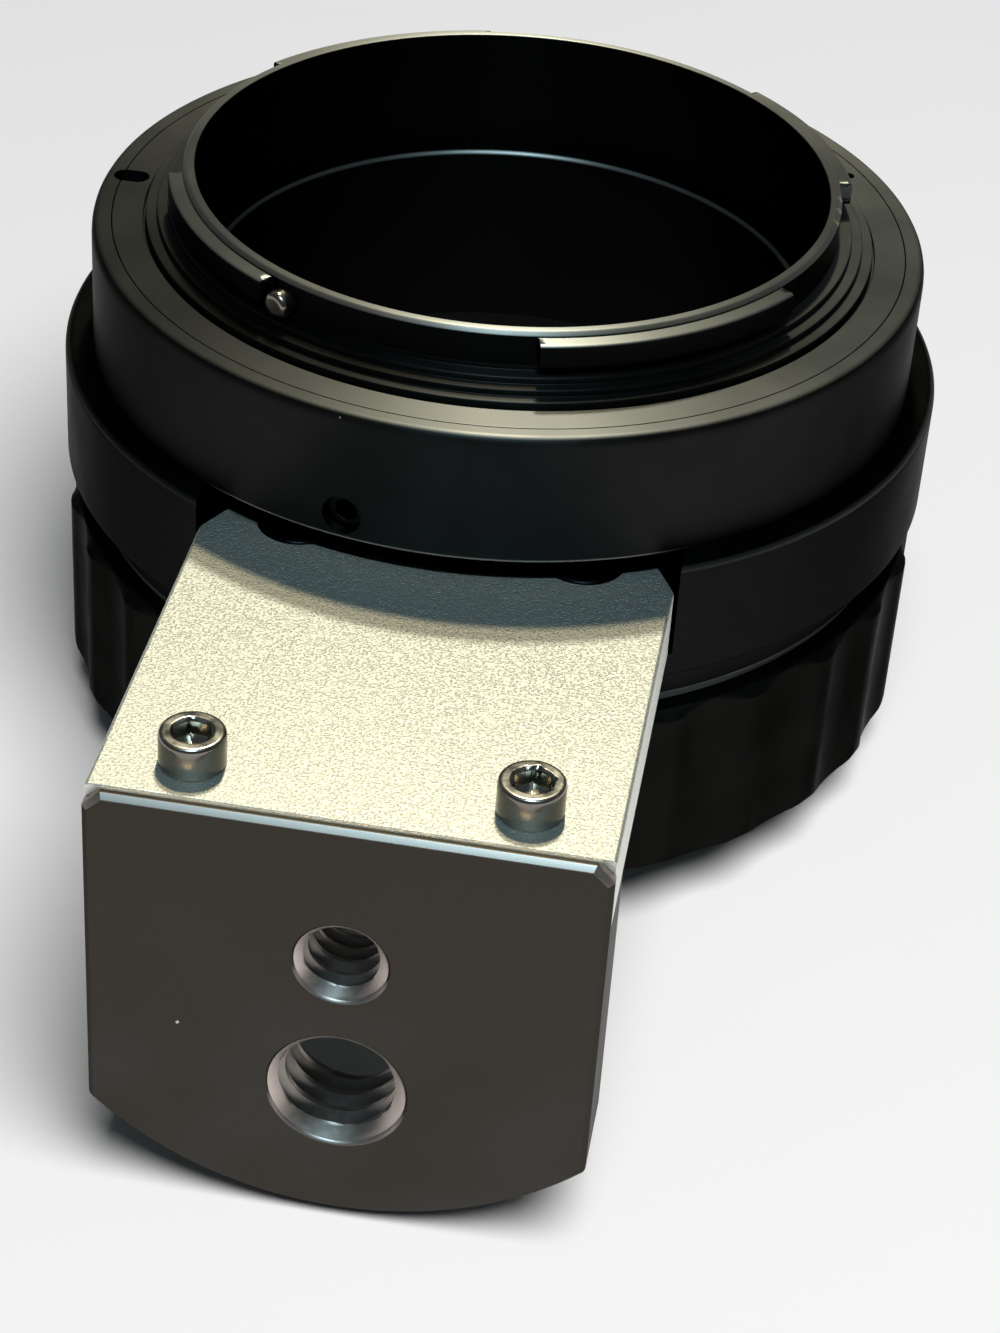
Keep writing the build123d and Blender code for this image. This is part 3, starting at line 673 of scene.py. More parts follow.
class Finish:
    """A material under way: its tree, its shader and the object coordinates that feed it."""

    def __init__(self, name, roughness=0.5, metallic=1.0, specular=0.5, edge_tint=None):
        self.material = bpy.data.materials.new(name)
        self.material.use_nodes = True
        self.tree = self.material.node_tree
        self.tree.nodes.clear()
        self.shader = self.tree.nodes.new("ShaderNodeBsdfPrincipled")
        self.shader.inputs["Roughness"].default_value = roughness
        self.shader.inputs["Metallic"].default_value = metallic
        self.shader.inputs["Specular IOR Level"].default_value = specular
        if edge_tint is not None:
            self.shader.inputs["Specular Tint"].default_value = (*edge_tint, 1)
        output = self.tree.nodes.new("ShaderNodeOutputMaterial")
        self.tree.links.new(self.shader.outputs["BSDF"], output.inputs["Surface"])
        coordinates = self.tree.nodes.new("ShaderNodeTexCoord")
        self.place = coordinates.outputs["Object"]
        position = self.tree.nodes.new("ShaderNodeSeparateXYZ")
        self.tree.links.new(self.place, position.inputs[0])
        self.across, self.along, self.height = position.outputs
        facing = self.tree.nodes.new("ShaderNodeSeparateXYZ")
        self.tree.links.new(coordinates.outputs["Normal"], facing.inputs[0])
        self.facing_up = facing.outputs["Z"]

    def group(self, name, **values):
        """The outputs of a shared node group that the object coordinates and some values feed."""
        node = self.tree.nodes.new("ShaderNodeGroup")
        node.node_tree = shared_group(name)
        self.tree.links.new(self.place, node.inputs["Vector"])
        for title, value in values.items():
            node.inputs[title].default_value = value
        return node.outputs

    def mix(self, factor, first, second):
        """A colour mixed from two colours by a factor."""
        return add_mix(self.tree, factor, first, second)

    def tones(self, factor, base, low, high):
        """A colour that a factor varies between two shares of its strength."""
        return self.mix(factor, lighter(base, low), lighter(base, high))

    def run(self, value, start, end, first=0.0, last=1.0):
        """A value that goes from first to last while another goes from start to end."""
        return add_range(self.tree, value, start, end, first, last)

    def upward(self, start, end, most=1.0):
        """A mask of faces by how far up they look: nought at the start, the most at the end."""
        return self.run(self.facing_up, start, end, last=most)

    def together(self, operation, first, *others):
        """Some values put together by a math operation."""
        for other in others:
            first = add_math(self.tree, operation, first, other)
        return first

    def either(self, *masks):
        """What lies in at least one of some masks."""
        return self.together("MAXIMUM", *masks)

    def both(self, *masks):
        """What lies in all of some masks, or a share of one."""
        return self.together("MULTIPLY", *masks)

    def zone(self, mask, low, high):
        """The part of a mask that lies between two heights."""
        above = add_math(self.tree, "GREATER_THAN", self.height, low)
        below = add_math(self.tree, "LESS_THAN", self.height, high)
        return self.both(mask, above, below)

    def inside(self, radius):
        """A mask of what lies nearer to the optical axis than a radius."""
        squares = [self.both(value, value) for value in (self.across, self.along)]
        return add_math(self.tree, "LESS_THAN", self.together("ADD", *squares), radius * radius)

    def nicks(self, places, size):
        """A mask of small nicks of a size at some places."""
        masks = [self.group("Nick", Place=place, Size=size / MM)["Mask"] for place in places]
        return self.either(*masks)

    def turned(self, amount):
        """Gives the surface the sheen of fine marks turned about the optical axis."""
        around = self.tree.nodes.new("ShaderNodeTangent")
        around.direction_type = "RADIAL"
        around.axis = "Z"
        self.feed("Tangent", around.outputs["Tangent"])
        self.shader.inputs["Anisotropic"].default_value = amount
        self.shader.inputs["Anisotropic Rotation"].default_value = QUARTER_TURN

    def feed(self, title, socket):
        """Links a varying value to one of the shader's inputs."""
        self.tree.links.new(socket, self.shader.inputs[title])

    def rough(self, tone, first, last, *more):
        """Lets a tone run the roughness from first to last, with more roughness added to it."""
        self.feed("Roughness", self.together("ADD", self.run(tone, 0.0, 1.0, first, last), *more))

    def bump(self, height, depth, strength):
        """Raises the surface by a height, its depth in millimetres."""
        node = self.tree.nodes.new("ShaderNodeBump")
        node.inputs["Distance"].default_value = depth * MM
        node.inputs["Strength"].default_value = strength
        self.tree.links.new(height, node.inputs["Height"])
        self.feed("Normal", node.outputs["Normal"])


def lighter(value, factor):
    """A colour made lighter or darker by a factor."""
    return tuple(min(1.0, part * factor) for part in value)


# Finishes

def black_finish(name):
    """Satin black anodised aluminium, its turned upper faces rubbed grey with a painted sheen, painted
    shade on the collar, the barrel's walls and the throat, and a few nicks.
    """
    colours = settings().colours
    finish = Finish(name, edge_tint=colours.edge_tint)
    finish.turned(0.7)
    grain = finish.group("Fine grain", Size=0.1)
    marks = finish.group("Handling marks", Size=6.0)
    # Faces that look up above the register: rubbed grey, with a painted sheen where the lamps behind would
    # shine
    rubbed_sheen_tops = finish.zone(finish.upward(0.3, 0.8), barrel_foot(), ABOVE_ALL)
    black = black_with_painted_shade(finish, marks)
    grey = rubbed_and_sheen_grey(finish, grain, rubbed_sheen_tops)
    skin = finish.mix(rubbed_and_sheen_mask(finish, rubbed_sheen_tops), black, grey)
    finish.feed("Base Color", finish.mix(bare_and_highlight_mask(finish), skin, colours.bare))
    grainy = finish.both(grain["Tone"], 0.05)
    duller_below = finish.upward(-0.1, -0.5, 0.5)
    finish.rough(marks["Tone"], 0.39, 0.45, grainy, duller_below)
    finish.bump(grain["Height"], depth=0.006, strength=0.35)
    return finish.material


def barrel_foot():
    """The height where the register has ended and only the barrel goes on."""
    clear_of_register = 0.4 * MM
    return settings().bayonet.register_height + clear_of_register


def black_with_painted_shade(finish, marks):
    """The black itself, with painted shade: darker on the collar below the housing, and darkest on the
    barrel's walls and in the throat.
    """
    black = settings().colours.black
    skin = finish.tones(marks["Tone"], black, 1.0, 1.35)
    # Painted shade: everything below the housing darker
    collar = finish.zone(1.0, BELOW_ALL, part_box("housing")[0].z)
    skin = finish.mix(collar, skin, lighter(black, 0.78))
    # Painted shade: the throat and the barrel's side-facing walls darkest
    throat = finish.inside(settings().bayonet.throat + FINE)
    walls = finish.zone(finish.upward(0.5, 0.3), barrel_foot(), ABOVE_ALL)
    return finish.mix(finish.either(throat, walls), skin, lighter(black, 0.4))


def rubbed_and_sheen_grey(finish, grain, rubbed_sheen_tops):
    """The grey of rubbed black with painted light: lighter to the right, lighter still as a painted sheen
    on the rim and lugs, and as a painted highlight on the inner ledge.
    """
    satin = settings().colours.satin
    grey = finish.tones(grain["Tone"], satin, 0.85, 1.12)
    # Painted light: lighter towards the right side
    painted_light_right = finish.run(finish.across, 5 * MM, 25 * MM)
    grey = finish.mix(painted_light_right, grey, lighter(satin, 2.0))
    grey = finish.mix(rubbed_sheen_tops, grey, lighter(satin, 2.1))
    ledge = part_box("main_body")[1].z
    beside = 1.0 * MM
    # Painted highlight along the inner ledge inside the throat
    return finish.mix(finish.zone(1.0, ledge - beside, ledge + beside), grey, lighter(satin, 2.6))


def rubbed_and_sheen_mask(finish, rubbed_sheen_tops):
    """Where the black is rubbed grey or given a painted sheen: rim and lugs, flange, register away from the
    foot, and some edges. The register's front is left black as a painted shadow of the barrel, and the
    inner ledge's edge and the collar's upper edge are painted highlights.
    """
    sizes = settings().bayonet
    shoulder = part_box("housing")[0].z
    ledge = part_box("main_body")[1].z
    over_flange = 0.25 * MM
    below_rim = -1.2 * MM
    flange = finish.zone(finish.upward(0.7, 1.0), below_rim, over_flange)
    steps = finish.zone(finish.upward(0.6, 0.97), over_flange, barrel_foot())
    # Painted shadow: the register's steps stay black at the front, where the barrel's shadow falls
    out_of_barrel_shadow = finish.run(finish.along, -22 * MM, -6 * MM, first=0.1)
    sloped = finish.both(finish.upward(0.2, 0.5), finish.upward(0.99, 0.9))
    # Painted highlights on the inner ledge's edge and the collar's upper edge
    ledge_highlight = finish.zone(sloped, ledge - 1.0 * MM, ledge + 0.1 * MM)
    collar_edge_sheen = finish.zone(finish.both(sloped, 0.35), shoulder - 0.8 * MM, shoulder + 0.05 * MM)
    worn_end = finish.both(finish.nicks([lug_end()], sizes.worn_size), 0.3)
    return finish.either(rubbed_sheen_tops, flange, finish.both(steps, out_of_barrel_shadow), ledge_highlight, collar_edge_sheen, worn_end)


def bare_and_highlight_mask(finish):
    """Where bare metal shows: the nicks in the two rims, and the housing's lower edge above the foot, made
    bare as a painted highlight line.
    """
    housing_nick, *barrel_nicks = nick_places()
    small = finish.nicks([housing_nick], settings().body.nick_size)
    large = finish.nicks(barrel_nicks, settings().bayonet.nick_size)
    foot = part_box("housing")[0].z
    # Painted highlight: bare metal along the housing's lower edge, only at the front above the arm
    lower_edge_highlight = finish.zone(finish.upward(-0.1, -0.4), foot - 0.1 * MM, foot + 0.5 * MM)
    above_the_arm = finish.run(finish.along, -26 * MM, -29 * MM)
    return finish.either(small, large, finish.both(lower_edge_highlight, above_the_arm))


def nick_places():
    """Where the housing's rim and the barrel's rim are nicked."""
    sizes = settings().body
    inwards = 0.2 * sizes.rim_round
    down = 0.43 * sizes.rim_round
    places = [polar(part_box("housing")[1].x - inwards, sizes.nick_angle, -down)]
    mount = settings().bayonet
    bevel = mount.throat + mount.wall - mount.rim_bevel / 2
    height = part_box("bayonet_mount")[1].z - mount.rim_bevel / 2
    for step in range(mount.nicks):
        places.append(polar(bevel, mount.nick_angle - step * mount.nick_spread, height))
    return places


def lug_end():
    """Where the end of the right rear lug is rubbed."""
    mount = settings().bayonet
    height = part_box("bayonet_mount")[1].z - mount.worn_size
    return polar(mount.throat + 2 * mount.wall, mount.worn_angle, height)


def grip_finish(name):
    """Matt black of the lock ring, its faces that look up lightened a little as a painted sheen."""
    colours = settings().colours
    finish = Finish(name, edge_tint=colours.edge_tint)
    grain = finish.group("Fine grain", Size=0.12)
    marks = finish.group("Handling marks", Size=5.0)
    skin = finish.tones(marks["Tone"], colours.grip, 1.0, 1.5)
    # Painted sheen: faces that look up mixed a little towards the rubbed grey
    rubbed = finish.upward(0.4, 1.0, 0.1)
    finish.feed("Base Color", finish.mix(rubbed, skin, colours.satin))
    finish.rough(marks["Tone"], 0.4, 0.52)
    finish.bump(grain["Height"], depth=0.008, strength=0.4)
    return finish.material


def blasted_finish(name):
    """Bead blasted bare aluminium: a pitted grain that glitters, its side faces painted lighter and its
    underside painted dark as shade.
    """
    blasted = settings().colours.blasted
    finish = Finish(name)
    grain = finish.group("Fine grain", Size=0.2)
    marks = finish.group("Handling marks", Size=9.0)
    tone = finish.tones(grain["Tone"], blasted, 0.72, 1.1)
    softer = finish.tones(grain["Tone"], blasted, 0.8, 1.06)
    skin = finish.mix(marks["Tone"], tone, softer)
    # Painted light: side faces lighter
    painted_light_sides = finish.upward(0.6, 0.3)
    skin = finish.mix(painted_light_sides, skin, lighter(blasted, 1.2))
    # Painted shade: the underside much darker
    below = finish.upward(-0.3, -0.7)
    finish.feed("Base Color", finish.mix(below, skin, lighter(blasted, 0.3)))
    finish.rough(grain["Tone"], 0.62, 0.5)
    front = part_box("foot_arm")[0].y
    from_front = finish.run(finish.along, front, front + 20 * MM, first=0.5)
    pits = finish.run(grain["Height"], 0.55, 0.78)
    finish.bump(finish.both(pits, from_front), depth=0.028, strength=1.0)
    return finish.material


def plate_finish(name):
    """Smooth grey metal, its upward bevelled edges bare as a painted highlight, with faint marks and a
    nick.
    """
    colours = settings().colours
    finish = Finish(name, edge_tint=colours.edge_tint)
    grain = finish.group("Fine grain", Size=0.16)
    marks = finish.group("Handling marks", Size=12.0)
    low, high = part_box("foot_plate")
    downwards = finish.run(finish.height, high.z, low.z)
    skin = finish.mix(downwards, colours.plate, colours.plate_low)
    skin = finish.mix(marks["Tone"], skin, lighter(colours.plate, 1.08))
    # Painted highlight: only bevelled edges that look up are bare and bright; the nick is real wear
    bevel_highlight = finish.both(finish.upward(0.15, 0.55), finish.upward(0.98, 0.9))
    worn = finish.either(bevel_highlight, finish.nicks([plate_nick()], settings().foot.nick_size))
    finish.feed("Base Color", finish.mix(worn, skin, colours.bare))
    finish.rough(marks["Tone"], 0.32, 0.4, finish.both(grain["Tone"], 0.05))
    finish.bump(grain["Height"], depth=0.005, strength=0.3)
    return finish.material


def plate_nick():
    """Where the plate's front is nicked, left of the tripod holes and between them."""
    share_down = 0.64
    place = mount_place("tripod_quarter").lerp(mount_place("tripod_three_eighths"), share_down)
    place.x -= settings().foot.nick_offset
    place.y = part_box("foot_plate")[0].y
    return place


def thread_finish(name):
    """Cut metal of the tripod threads, bright at the mouth and painted darker within as shade in the hole.
    """
    colours = settings().colours
    finish = Finish(name)
    grain = finish.group("Fine grain", Size=0.5)
    marks = finish.group("Handling marks", Size=4.0)
    # Painted shade: the thread darker past the hole's mouth
    painted_shade_within = finish.tones(marks["Tone"], colours.thread, 0.8, 1.1)
    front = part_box("foot_plate")[0].y
    inwards = finish.run(finish.along, front + 0.3 * MM, front + 1.0 * MM)
    finish.feed("Base Color", finish.mix(inwards, colours.bare, painted_shade_within))
    finish.rough(grain["Tone"], 0.36, 0.44)
    finish.bump(grain["Height"], depth=0.002, strength=0.2)
    return finish.material


def nickel_finish(name):
    """Nickel plated steel, with dirt in the sockets, and its faces that don't look up painted darker as
    shade.
    """
    colours = settings().colours
    finish = Finish(name)
    grain = finish.group("Fine grain", Size=0.18)
    marks = finish.group("Handling marks", Size=1.2)
    pointiness = finish.tree.nodes.new("ShaderNodeNewGeometry").outputs["Pointiness"]
    hollow = finish.run(pointiness, 0.5, 0.42)
    worn = finish.tones(marks["Tone"], colours.nickel, 0.88, 1.0)
    # Painted shade: faces that don't look up at less than half the nickel's brightness
    plated = finish.mix(finish.upward(0.2, 0.8), lighter(colours.nickel, 0.4), worn)
    finish.feed("Base Color", finish.mix(finish.both(hollow, marks["Tone"]), plated, colours.stain))
    finish.rough(marks["Tone"], 0.16, 0.3)
    finish.bump(grain["Height"], depth=0.006, strength=0.35)
    return finish.material


def steel_finish(name):
    """Ground steel of the lens seat."""
    finish = Finish(name)
    grain = finish.group("Fine grain", Size=0.08)
    marks = finish.group("Handling marks", Size=3.0)
    finish.feed("Base Color", finish.tones(marks["Tone"], settings().colours.seat, 0.85, 1.1))
    finish.rough(grain["Tone"], 0.26, 0.38)
    finish.bump(grain["Height"], depth=0.004, strength=0.3)
    return finish.material


def oxide_finish(name):
    """Black oxide of the hidden steel screws."""
    colours = settings().colours
    finish = Finish(name, edge_tint=colours.edge_tint)
    grain = finish.group("Fine grain", Size=0.1)
    marks = finish.group("Handling marks", Size=1.5)
    finish.feed("Base Color", finish.tones(marks["Tone"], colours.oxide, 1.0, 1.8))
    finish.rough(marks["Tone"], 0.28, 0.42)
    finish.bump(grain["Height"], depth=0.006, strength=0.3)
    return finish.material


def nylon_finish(name):
    """Smooth nylon of the friction washer."""
    finish = Finish(name, roughness=0.5, metallic=0.0)
    grain = finish.group("Fine grain", Size=0.2)
    finish.feed("Base Color", finish.tones(grain["Tone"], settings().colours.nylon, 1.0, 0.92))
    finish.bump(grain["Height"], depth=0.008, strength=0.3)
    return finish.material


def brass_finish(name):
    """Rolled brass of the shim."""
    finish = Finish(name)
    marks = finish.group("Handling marks", Size=4.0)
    finish.feed("Base Color", finish.tones(marks["Tone"], settings().colours.brass, 1.0, 0.8))
    finish.rough(marks["Tone"], 0.22, 0.36)
    return finish.material


def floor_finish(name):
    """The plain pale floor, very slightly uneven in tone."""
    finish = Finish(name, roughness=0.9, metallic=0.0, specular=0.1)
    marks = finish.group("Handling marks", Size=120.0)
    finish.feed("Base Color", finish.tones(marks["Tone"], settings().colours.floor, 0.985, 1.0))
    return finish.material


FINISHES = {
    "satin_black": black_finish,
    "matt_grip": grip_finish,
    "bead_blasted": blasted_finish,
    "plate_grey": plate_finish,
    "cut_thread": thread_finish,
    "nickel_steel": nickel_finish,
    "ground_steel": steel_finish,
    "black_oxide": oxide_finish,
    "washer_nylon": nylon_finish,
    "rolled_brass": brass_finish,
    "pale_floor": floor_finish,
}


def finish_of(name):
    """A material made once and used by every piece of that finish."""
    return bpy.data.materials.get(name) or FINISHES[name](name)


# Pieces

# Each lug's middle and width in degrees, and the angle over which a lug or a tab ends
LUGS = ((-53.5, 47.0), (31.0, 38.0), (125.0, 44.0), (-144.7, 40.6))
LUG_RAMP = math.radians(0.25)


def mount_outline(sizes, with_lug):
    """The bayonet mount's half-section, through a lug or between two lugs."""
    low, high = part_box("bayonet_mount")
    rim = high.z
    flange_edge = high.x
    barrel = sizes.throat + sizes.wall
    lug = barrel + sizes.lug_reach
    lug_top = rim - sizes.lug_drop
    lug_slope = sizes.rim_bevel / 4
    lug_foot = lug_top - sizes.lug_height
    corners = [
        (sizes.throat, -sizes.ledge, FINE),
        (sizes.throat, rim, EASED),
        (barrel - sizes.rim_bevel, rim, EASED),
        (barrel, rim - sizes.rim_bevel, EASED),
        (barrel, lug_top, FINE),
    ]
    if with_lug:
        corners += [(lug, lug_top - lug_slope, sizes.lug_bevel), (lug, lug_foot, EASED)]
    else:
        middle = (lug_top + lug_foot) / 2
        corners += [(barrel, middle + EASED, FINE), (barrel, middle - EASED, FINE)]
    corners += [(barrel, lug_foot, FINE), (barrel, sizes.register_height, FINE)]
    step_height = sizes.register_height / sizes.register_steps
    for step in range(sizes.register_steps):
        radius = lug + step * sizes.register_run
        top = sizes.register_height - step * step_height
        last = step == sizes.register_steps - 1
        foot = -sizes.relief_depth if last else top - step_height
        corners += [(radius, top, sizes.step_round), (radius, foot, FINE)]
    relief = radius + sizes.relief_width
    skirt = flange_edge - sizes.skirt_inset
    skirt_inner = skirt - sizes.skirt_wall
    corners += [
        (relief, -sizes.relief_depth, FINE),
        (relief, 0, FINE),
        (flange_edge, 0, FINE),
        (flange_edge, -sizes.flange, FINE),
        (skirt, -sizes.flange, FINE),
        (skirt, low.z, EASED),
        (skirt_inner, low.z, EASED),
        (skirt_inner, -sizes.ledge, FINE),
    ]
    return softened(corners)


def flange_inner(sizes):
    """The inner radius of the flange ring's flat."""
    lug = sizes.throat + sizes.wall + sizes.lug_reach
    return lug + (sizes.register_steps - 1) * sizes.register_run + sizes.relief_width


def lock_slot_mesh(sizes):
    """The cutter of the lock pin's slot, from the flange's flat out into the rim."""
    half = sizes.slot_width / 2
    straight = sizes.slot_length / 2 - half
    middle = flange_inner(sizes) + sizes.slot_inset + sizes.slot_length / 2
    outline = []
    for turn in even_turns(HOLE_SEGMENTS):
        shift = straight if math.cos(turn) > 0 else -straight
        outline.append((middle + shift + half * math.cos(turn), half * math.sin(turn)))
    mesh = prism_mesh("slot", outline, -sizes.slot_depth, MM)
    mesh.transform(Matrix.Rotation(sizes.slot_angle, 4, "Z"))
    return mesh


class ADAPTER_OT_bayonet_mount(bpy.types.Operator):
    """Build the bayonet mount: barrel, lugs, stepped register, flange and skirt"""

    bl_idname = "adapter.bayonet_mount"
    bl_label = "Bayonet Mount"

    def execute(self, context):
        sizes = settings().bayonet
        plain = mount_outline(sizes, False)
        lugged = mount_outline(sizes, True)
        sectors = [(math.radians(centre), math.radians(width)) for centre, width in LUGS]
        turns = sector_turns(sectors, RING_SEGMENTS, LUG_RAMP)
        sections = [(turn, between(plain, lugged, inside)) for turn, inside in turns]
        piece = add_object("mount_barrel_and_flange", ring_mesh("mount", sections))
        circle = circle_points(sizes.dimple_radius, DIMPLE_SEGMENTS)
        dimple = prism_mesh("dimple", circle, -sizes.dimple_depth, MM)
        flat_middle = (flange_inner(sizes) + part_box("bayonet_mount")[1].x) / 2
        around = Matrix.Rotation(sizes.dimple_angle, 4, "Z")
        dimple.transform(around @ Matrix.Translation((flat_middle, 0, 0)))
        cut(piece, [lock_slot_mesh(sizes), dimple])
        dress(piece, BODY, "satin_black", ["bayonet_mount"])
        return {"FINISHED"}


SET_SCREWS = ("set_screw_front", "set_screw_right_rear", "set_screw_left_rear")


def set_screw_place(node):
    """The placing of a set screw at its tip, its Z axis pointing out."""
    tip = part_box("housing")[1].x - settings().body.set_tip
    return radial_place(turn_of(node), tip, middle_of(node).z)


class ADAPTER_OT_housing(bpy.types.Operator):
    """Build the housing that carries the flange, with its set screw holes"""

    bl_idname = "adapter.housing"
    bl_label = "Housing"

    def execute(self, context):
        sizes = settings().body
        mount = settings().bayonet
        low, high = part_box("housing")
        outer = high.x
        bottom = low.z
        recess = outer - sizes.rim_wall
        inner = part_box("bayonet_mount")[1].x - mount.skirt_inset + sizes.slip
        outline = softened([
            (inner, bottom, FINE),
            (outer, bottom, sizes.foot_round),
            (outer, 0, sizes.rim_round),
            (recess, 0, FINE),
            (recess, -mount.flange, FINE),
            (inner, -mount.flange, FINE),
        ])
        piece = add_object("housing_sleeve", lathe_mesh("housing", outline))
        cutters = [lock_slot_mesh(mount)]
        circle = circle_points(sizes.set_screw, HOLE_SEGMENTS)
        for name in SET_SCREWS:
            hole = prism_mesh("hole", circle, -sizes.set_tip, 2 * sizes.set_tip)
            hole.transform(set_screw_place(name))
            cutters.append(hole)
        cut(piece, cutters)
        dress(piece, BODY, "satin_black", ["housing"])
        return {"FINISHED"}


class ADAPTER_OT_main_body(bpy.types.Operator):
    """Build the main body: neck, collar with the foot's pocket, groove and ring barrel"""

    bl_idname = "adapter.main_body"
    bl_label = "Main Body"

    def execute(self, context):
        sizes = settings().body
        mount = settings().bayonet
        low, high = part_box("main_body")
        collar = high.x - sizes.skin
        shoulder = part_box("housing")[0].z
        collar_foot = shoulder - sizes.collar_height
        groove_foot = collar_foot - sizes.groove_height
        seat_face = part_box("lens_seat")[0].z
        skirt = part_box("bayonet_mount")[1].x - mount.skirt_inset - mount.skirt_wall
        neck = skirt - sizes.slip
        outline = softened([
            (sizes.bore, high.z, sizes.ledge_round),
            (neck, high.z, EASED),
            (neck, shoulder, FINE),
            (collar, shoulder, sizes.collar_round),
            (collar, collar_foot, sizes.collar_foot_round),
            (sizes.groove_radius, collar_foot, FINE),
            (sizes.groove_radius, groove_foot, FINE),
            (sizes.barrel_radius, groove_foot, FINE),
            (sizes.barrel_radius, low.z, FINE),
            (sizes.counterbore, low.z, FINE),
            (sizes.counterbore, seat_face + sizes.counterbore_depth, FINE),
            (sizes.bore, seat_face + sizes.counterbore_depth, FINE),
        ])
        piece = add_object("collar_and_barrel", lathe_mesh("body", outline))
        cut(piece, [self.foot_pocket(sizes, collar, skirt, shoulder), self.stop_groove(sizes)])
        dress(piece, BODY, "satin_black", ["main_body"])
        return {"FINISHED"}

    def foot_pocket(self, sizes, collar, wall, shoulder):
        """The cutter of the pocket that the foot's arm lies in, from the collar in to the neck's wall."""
        low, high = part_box("foot_arm")
        half = high.x + sizes.pocket_gap
        spread = math.asin(half / wall)
        outline = [(-half, -collar - MM), (half, -collar - MM)]
        for step in range(ARC_STEPS + 1):
            turn = spread * (1 - 2 * step / ARC_STEPS)
            outline.append((wall * math.sin(turn), -wall * math.cos(turn)))
        return prism_mesh("pocket", outline, low.z, shoulder + MM)

    def stop_groove(self, sizes):
        """The cutter of the groove that the stop screw's tip runs in."""
        low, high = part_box("stop_screw")
        half = (high.z - low.z) / 2 + sizes.stop_groove_gap
        floor = sizes.barrel_radius - sizes.stop_groove_depth
        spare = math.asin(half / floor)
        start = turn_of("stop_screw") - spare
        arc = sizes.stop_travel + 2 * spare
        turns = [start + arc * step / ARC_STEPS for step in range(ARC_STEPS + 1)]
        outline = [polar(floor, turn, 0).to_2d() for turn in turns]
        outline += [polar(sizes.barrel_radius + MM, turn, 0).to_2d() for turn in reversed(turns)]
        height = middle_of("stop_screw").z
        return prism_mesh("stop groove", outline, height - half, height + half)


class ADAPTER_OT_foot_arm(bpy.types.Operator):
    """Build the foot's arm, bead blasted"""

    bl_idname = "adapter.foot_arm"
    bl_label = "Foot Arm"

    def execute(self, context):
        piece = add_object("blasted_arm", eased_copy("foot_arm", settings().foot.arm_break))
        dress(piece, BODY, "bead_blasted", ["foot_arm"])
        return {"FINISHED"}


# A thread's form in shares of its pitch: its depth, half its crest, and from the crest's middle to the root
THREAD_DEPTH = 0.541
THREAD_CREST = 0.125
THREAD_ROOT = 0.4375
MOUTH_SLOPE = 1.1


def thread_mesh(name, radius, pitch, start, end):
    """A tapped thread's ridge inside a hole about Z, its rows along the helix, its mouths bevelled away."""
    ridge = THREAD_DEPTH * pitch
    outside = radius - FINE / 8
    root = radius - FINE / 4
    rows = math.ceil((end - start) / pitch + 1) * THREAD_ROWS
    sections = []
    for segment in range(THREAD_SEGMENTS + 1):
        part = segment / THREAD_SEGMENTS
        points = []
        for row in range(rows + 1):
            height = min(end, max(start, start + pitch * (row / THREAD_ROWS - part)))
            off_crest = abs(row / THREAD_ROWS % 1 - 0.5)
            rise = min(1, (THREAD_ROOT - off_crest) / (THREAD_ROOT - THREAD_CREST))
            room = MOUTH_SLOPE * min(height - start, end - height)
            points.append((root - max(0, min(ridge * rise, room)), height))
        points += [(outside, end), (outside, start)]
        sections.append((2 * math.pi * part, points))
    return ring_mesh(name, sections, joined=False)


class ADAPTER_OT_foot_plate(bpy.types.Operator):
    """Build the foot's plate and cut its two tripod threads"""

    bl_idname = "adapter.foot_plate"
    bl_label = "Foot Plate and Threads"

    def execute(self, context):
        sizes = settings().foot
        piece = add_object("tripod_plate", eased_copy("foot_plate", sizes.plate_break))
        dress(piece, BODY, "plate_grey", ["foot_plate"])
        low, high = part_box("foot_plate")
        half = (high.y - low.y) / 2 - sizes.mouth
        threads = (("tripod_quarter", sizes.quarter_pitch), ("tripod_three_eighths", sizes.large_pitch))
        for name, pitch in threads:
            mesh = thread_mesh(name, mount_radius(name) * MM, pitch, -half, half)
            place = Matrix.Rotation(math.radians(90), 4, "X")
            place.translation = mount_place(name)
            place.translation.y = (low.y + high.y) / 2
            mesh.transform(place)
            sleeve = add_object(name + "_thread", mesh)
            dress(sleeve, BODY, "cut_thread")
        return {"FINISHED"}


# A foot screw's side, how far it is turned in radians, and how much of its socket's edge is chipped
SCREW_SIDES = (("left", 0.35, 0.03), ("right", 0.1, 0.16))
CHIP_SCALE = 2.3
CHIP_START = Vector((4.1, 0, 0))


def hexagon_radius(across, turn):
    """The distance from a hexagon's middle to its side at an angle."""
    side = (turn + math.pi / 6) % (math.pi / 3) - math.pi / 6
    return across / 2 / math.cos(side)


def socket_screw_mesh(name, head, height, shank, depth, across, socket_depth, rounding, chip):
    """A socket head screw about Z, its seat at nought, its socket's edge chipped by a share."""
    corner = across / 2 / math.cos(math.pi / 6)
    socket_floor = height - socket_depth
    drilled = 0.25 * across
    sections = []
    for turn in even_turns(SCREW_SEGMENTS):
        flat = hexagon_radius(across, turn)
        bite = max(0, noise.noise(polar(1, turn, 0) * CHIP_SCALE + CHIP_START)) * chip * across
        mouth = max(corner * 1.1, flat * 1.14) + bite
        bevel_foot = flat * 1.03 + bite * 0.6
        bevel = 0.16 * MM + bite * 0.4
        outline = softened([
            (0, -depth, 0),
            (shank, -depth, EASED),
            (shank, 0, FINE),
            (head, 0, EASED),
            (head, height, rounding),
            (mouth, height, FINE),
            (bevel_foot, height - bevel, FINE),
            (flat, socket_floor, FINE),
            (0, socket_floor - drilled, 0),
        ])
        sections.append((turn, outline))
    return ring_mesh(name, sections, closed=False)


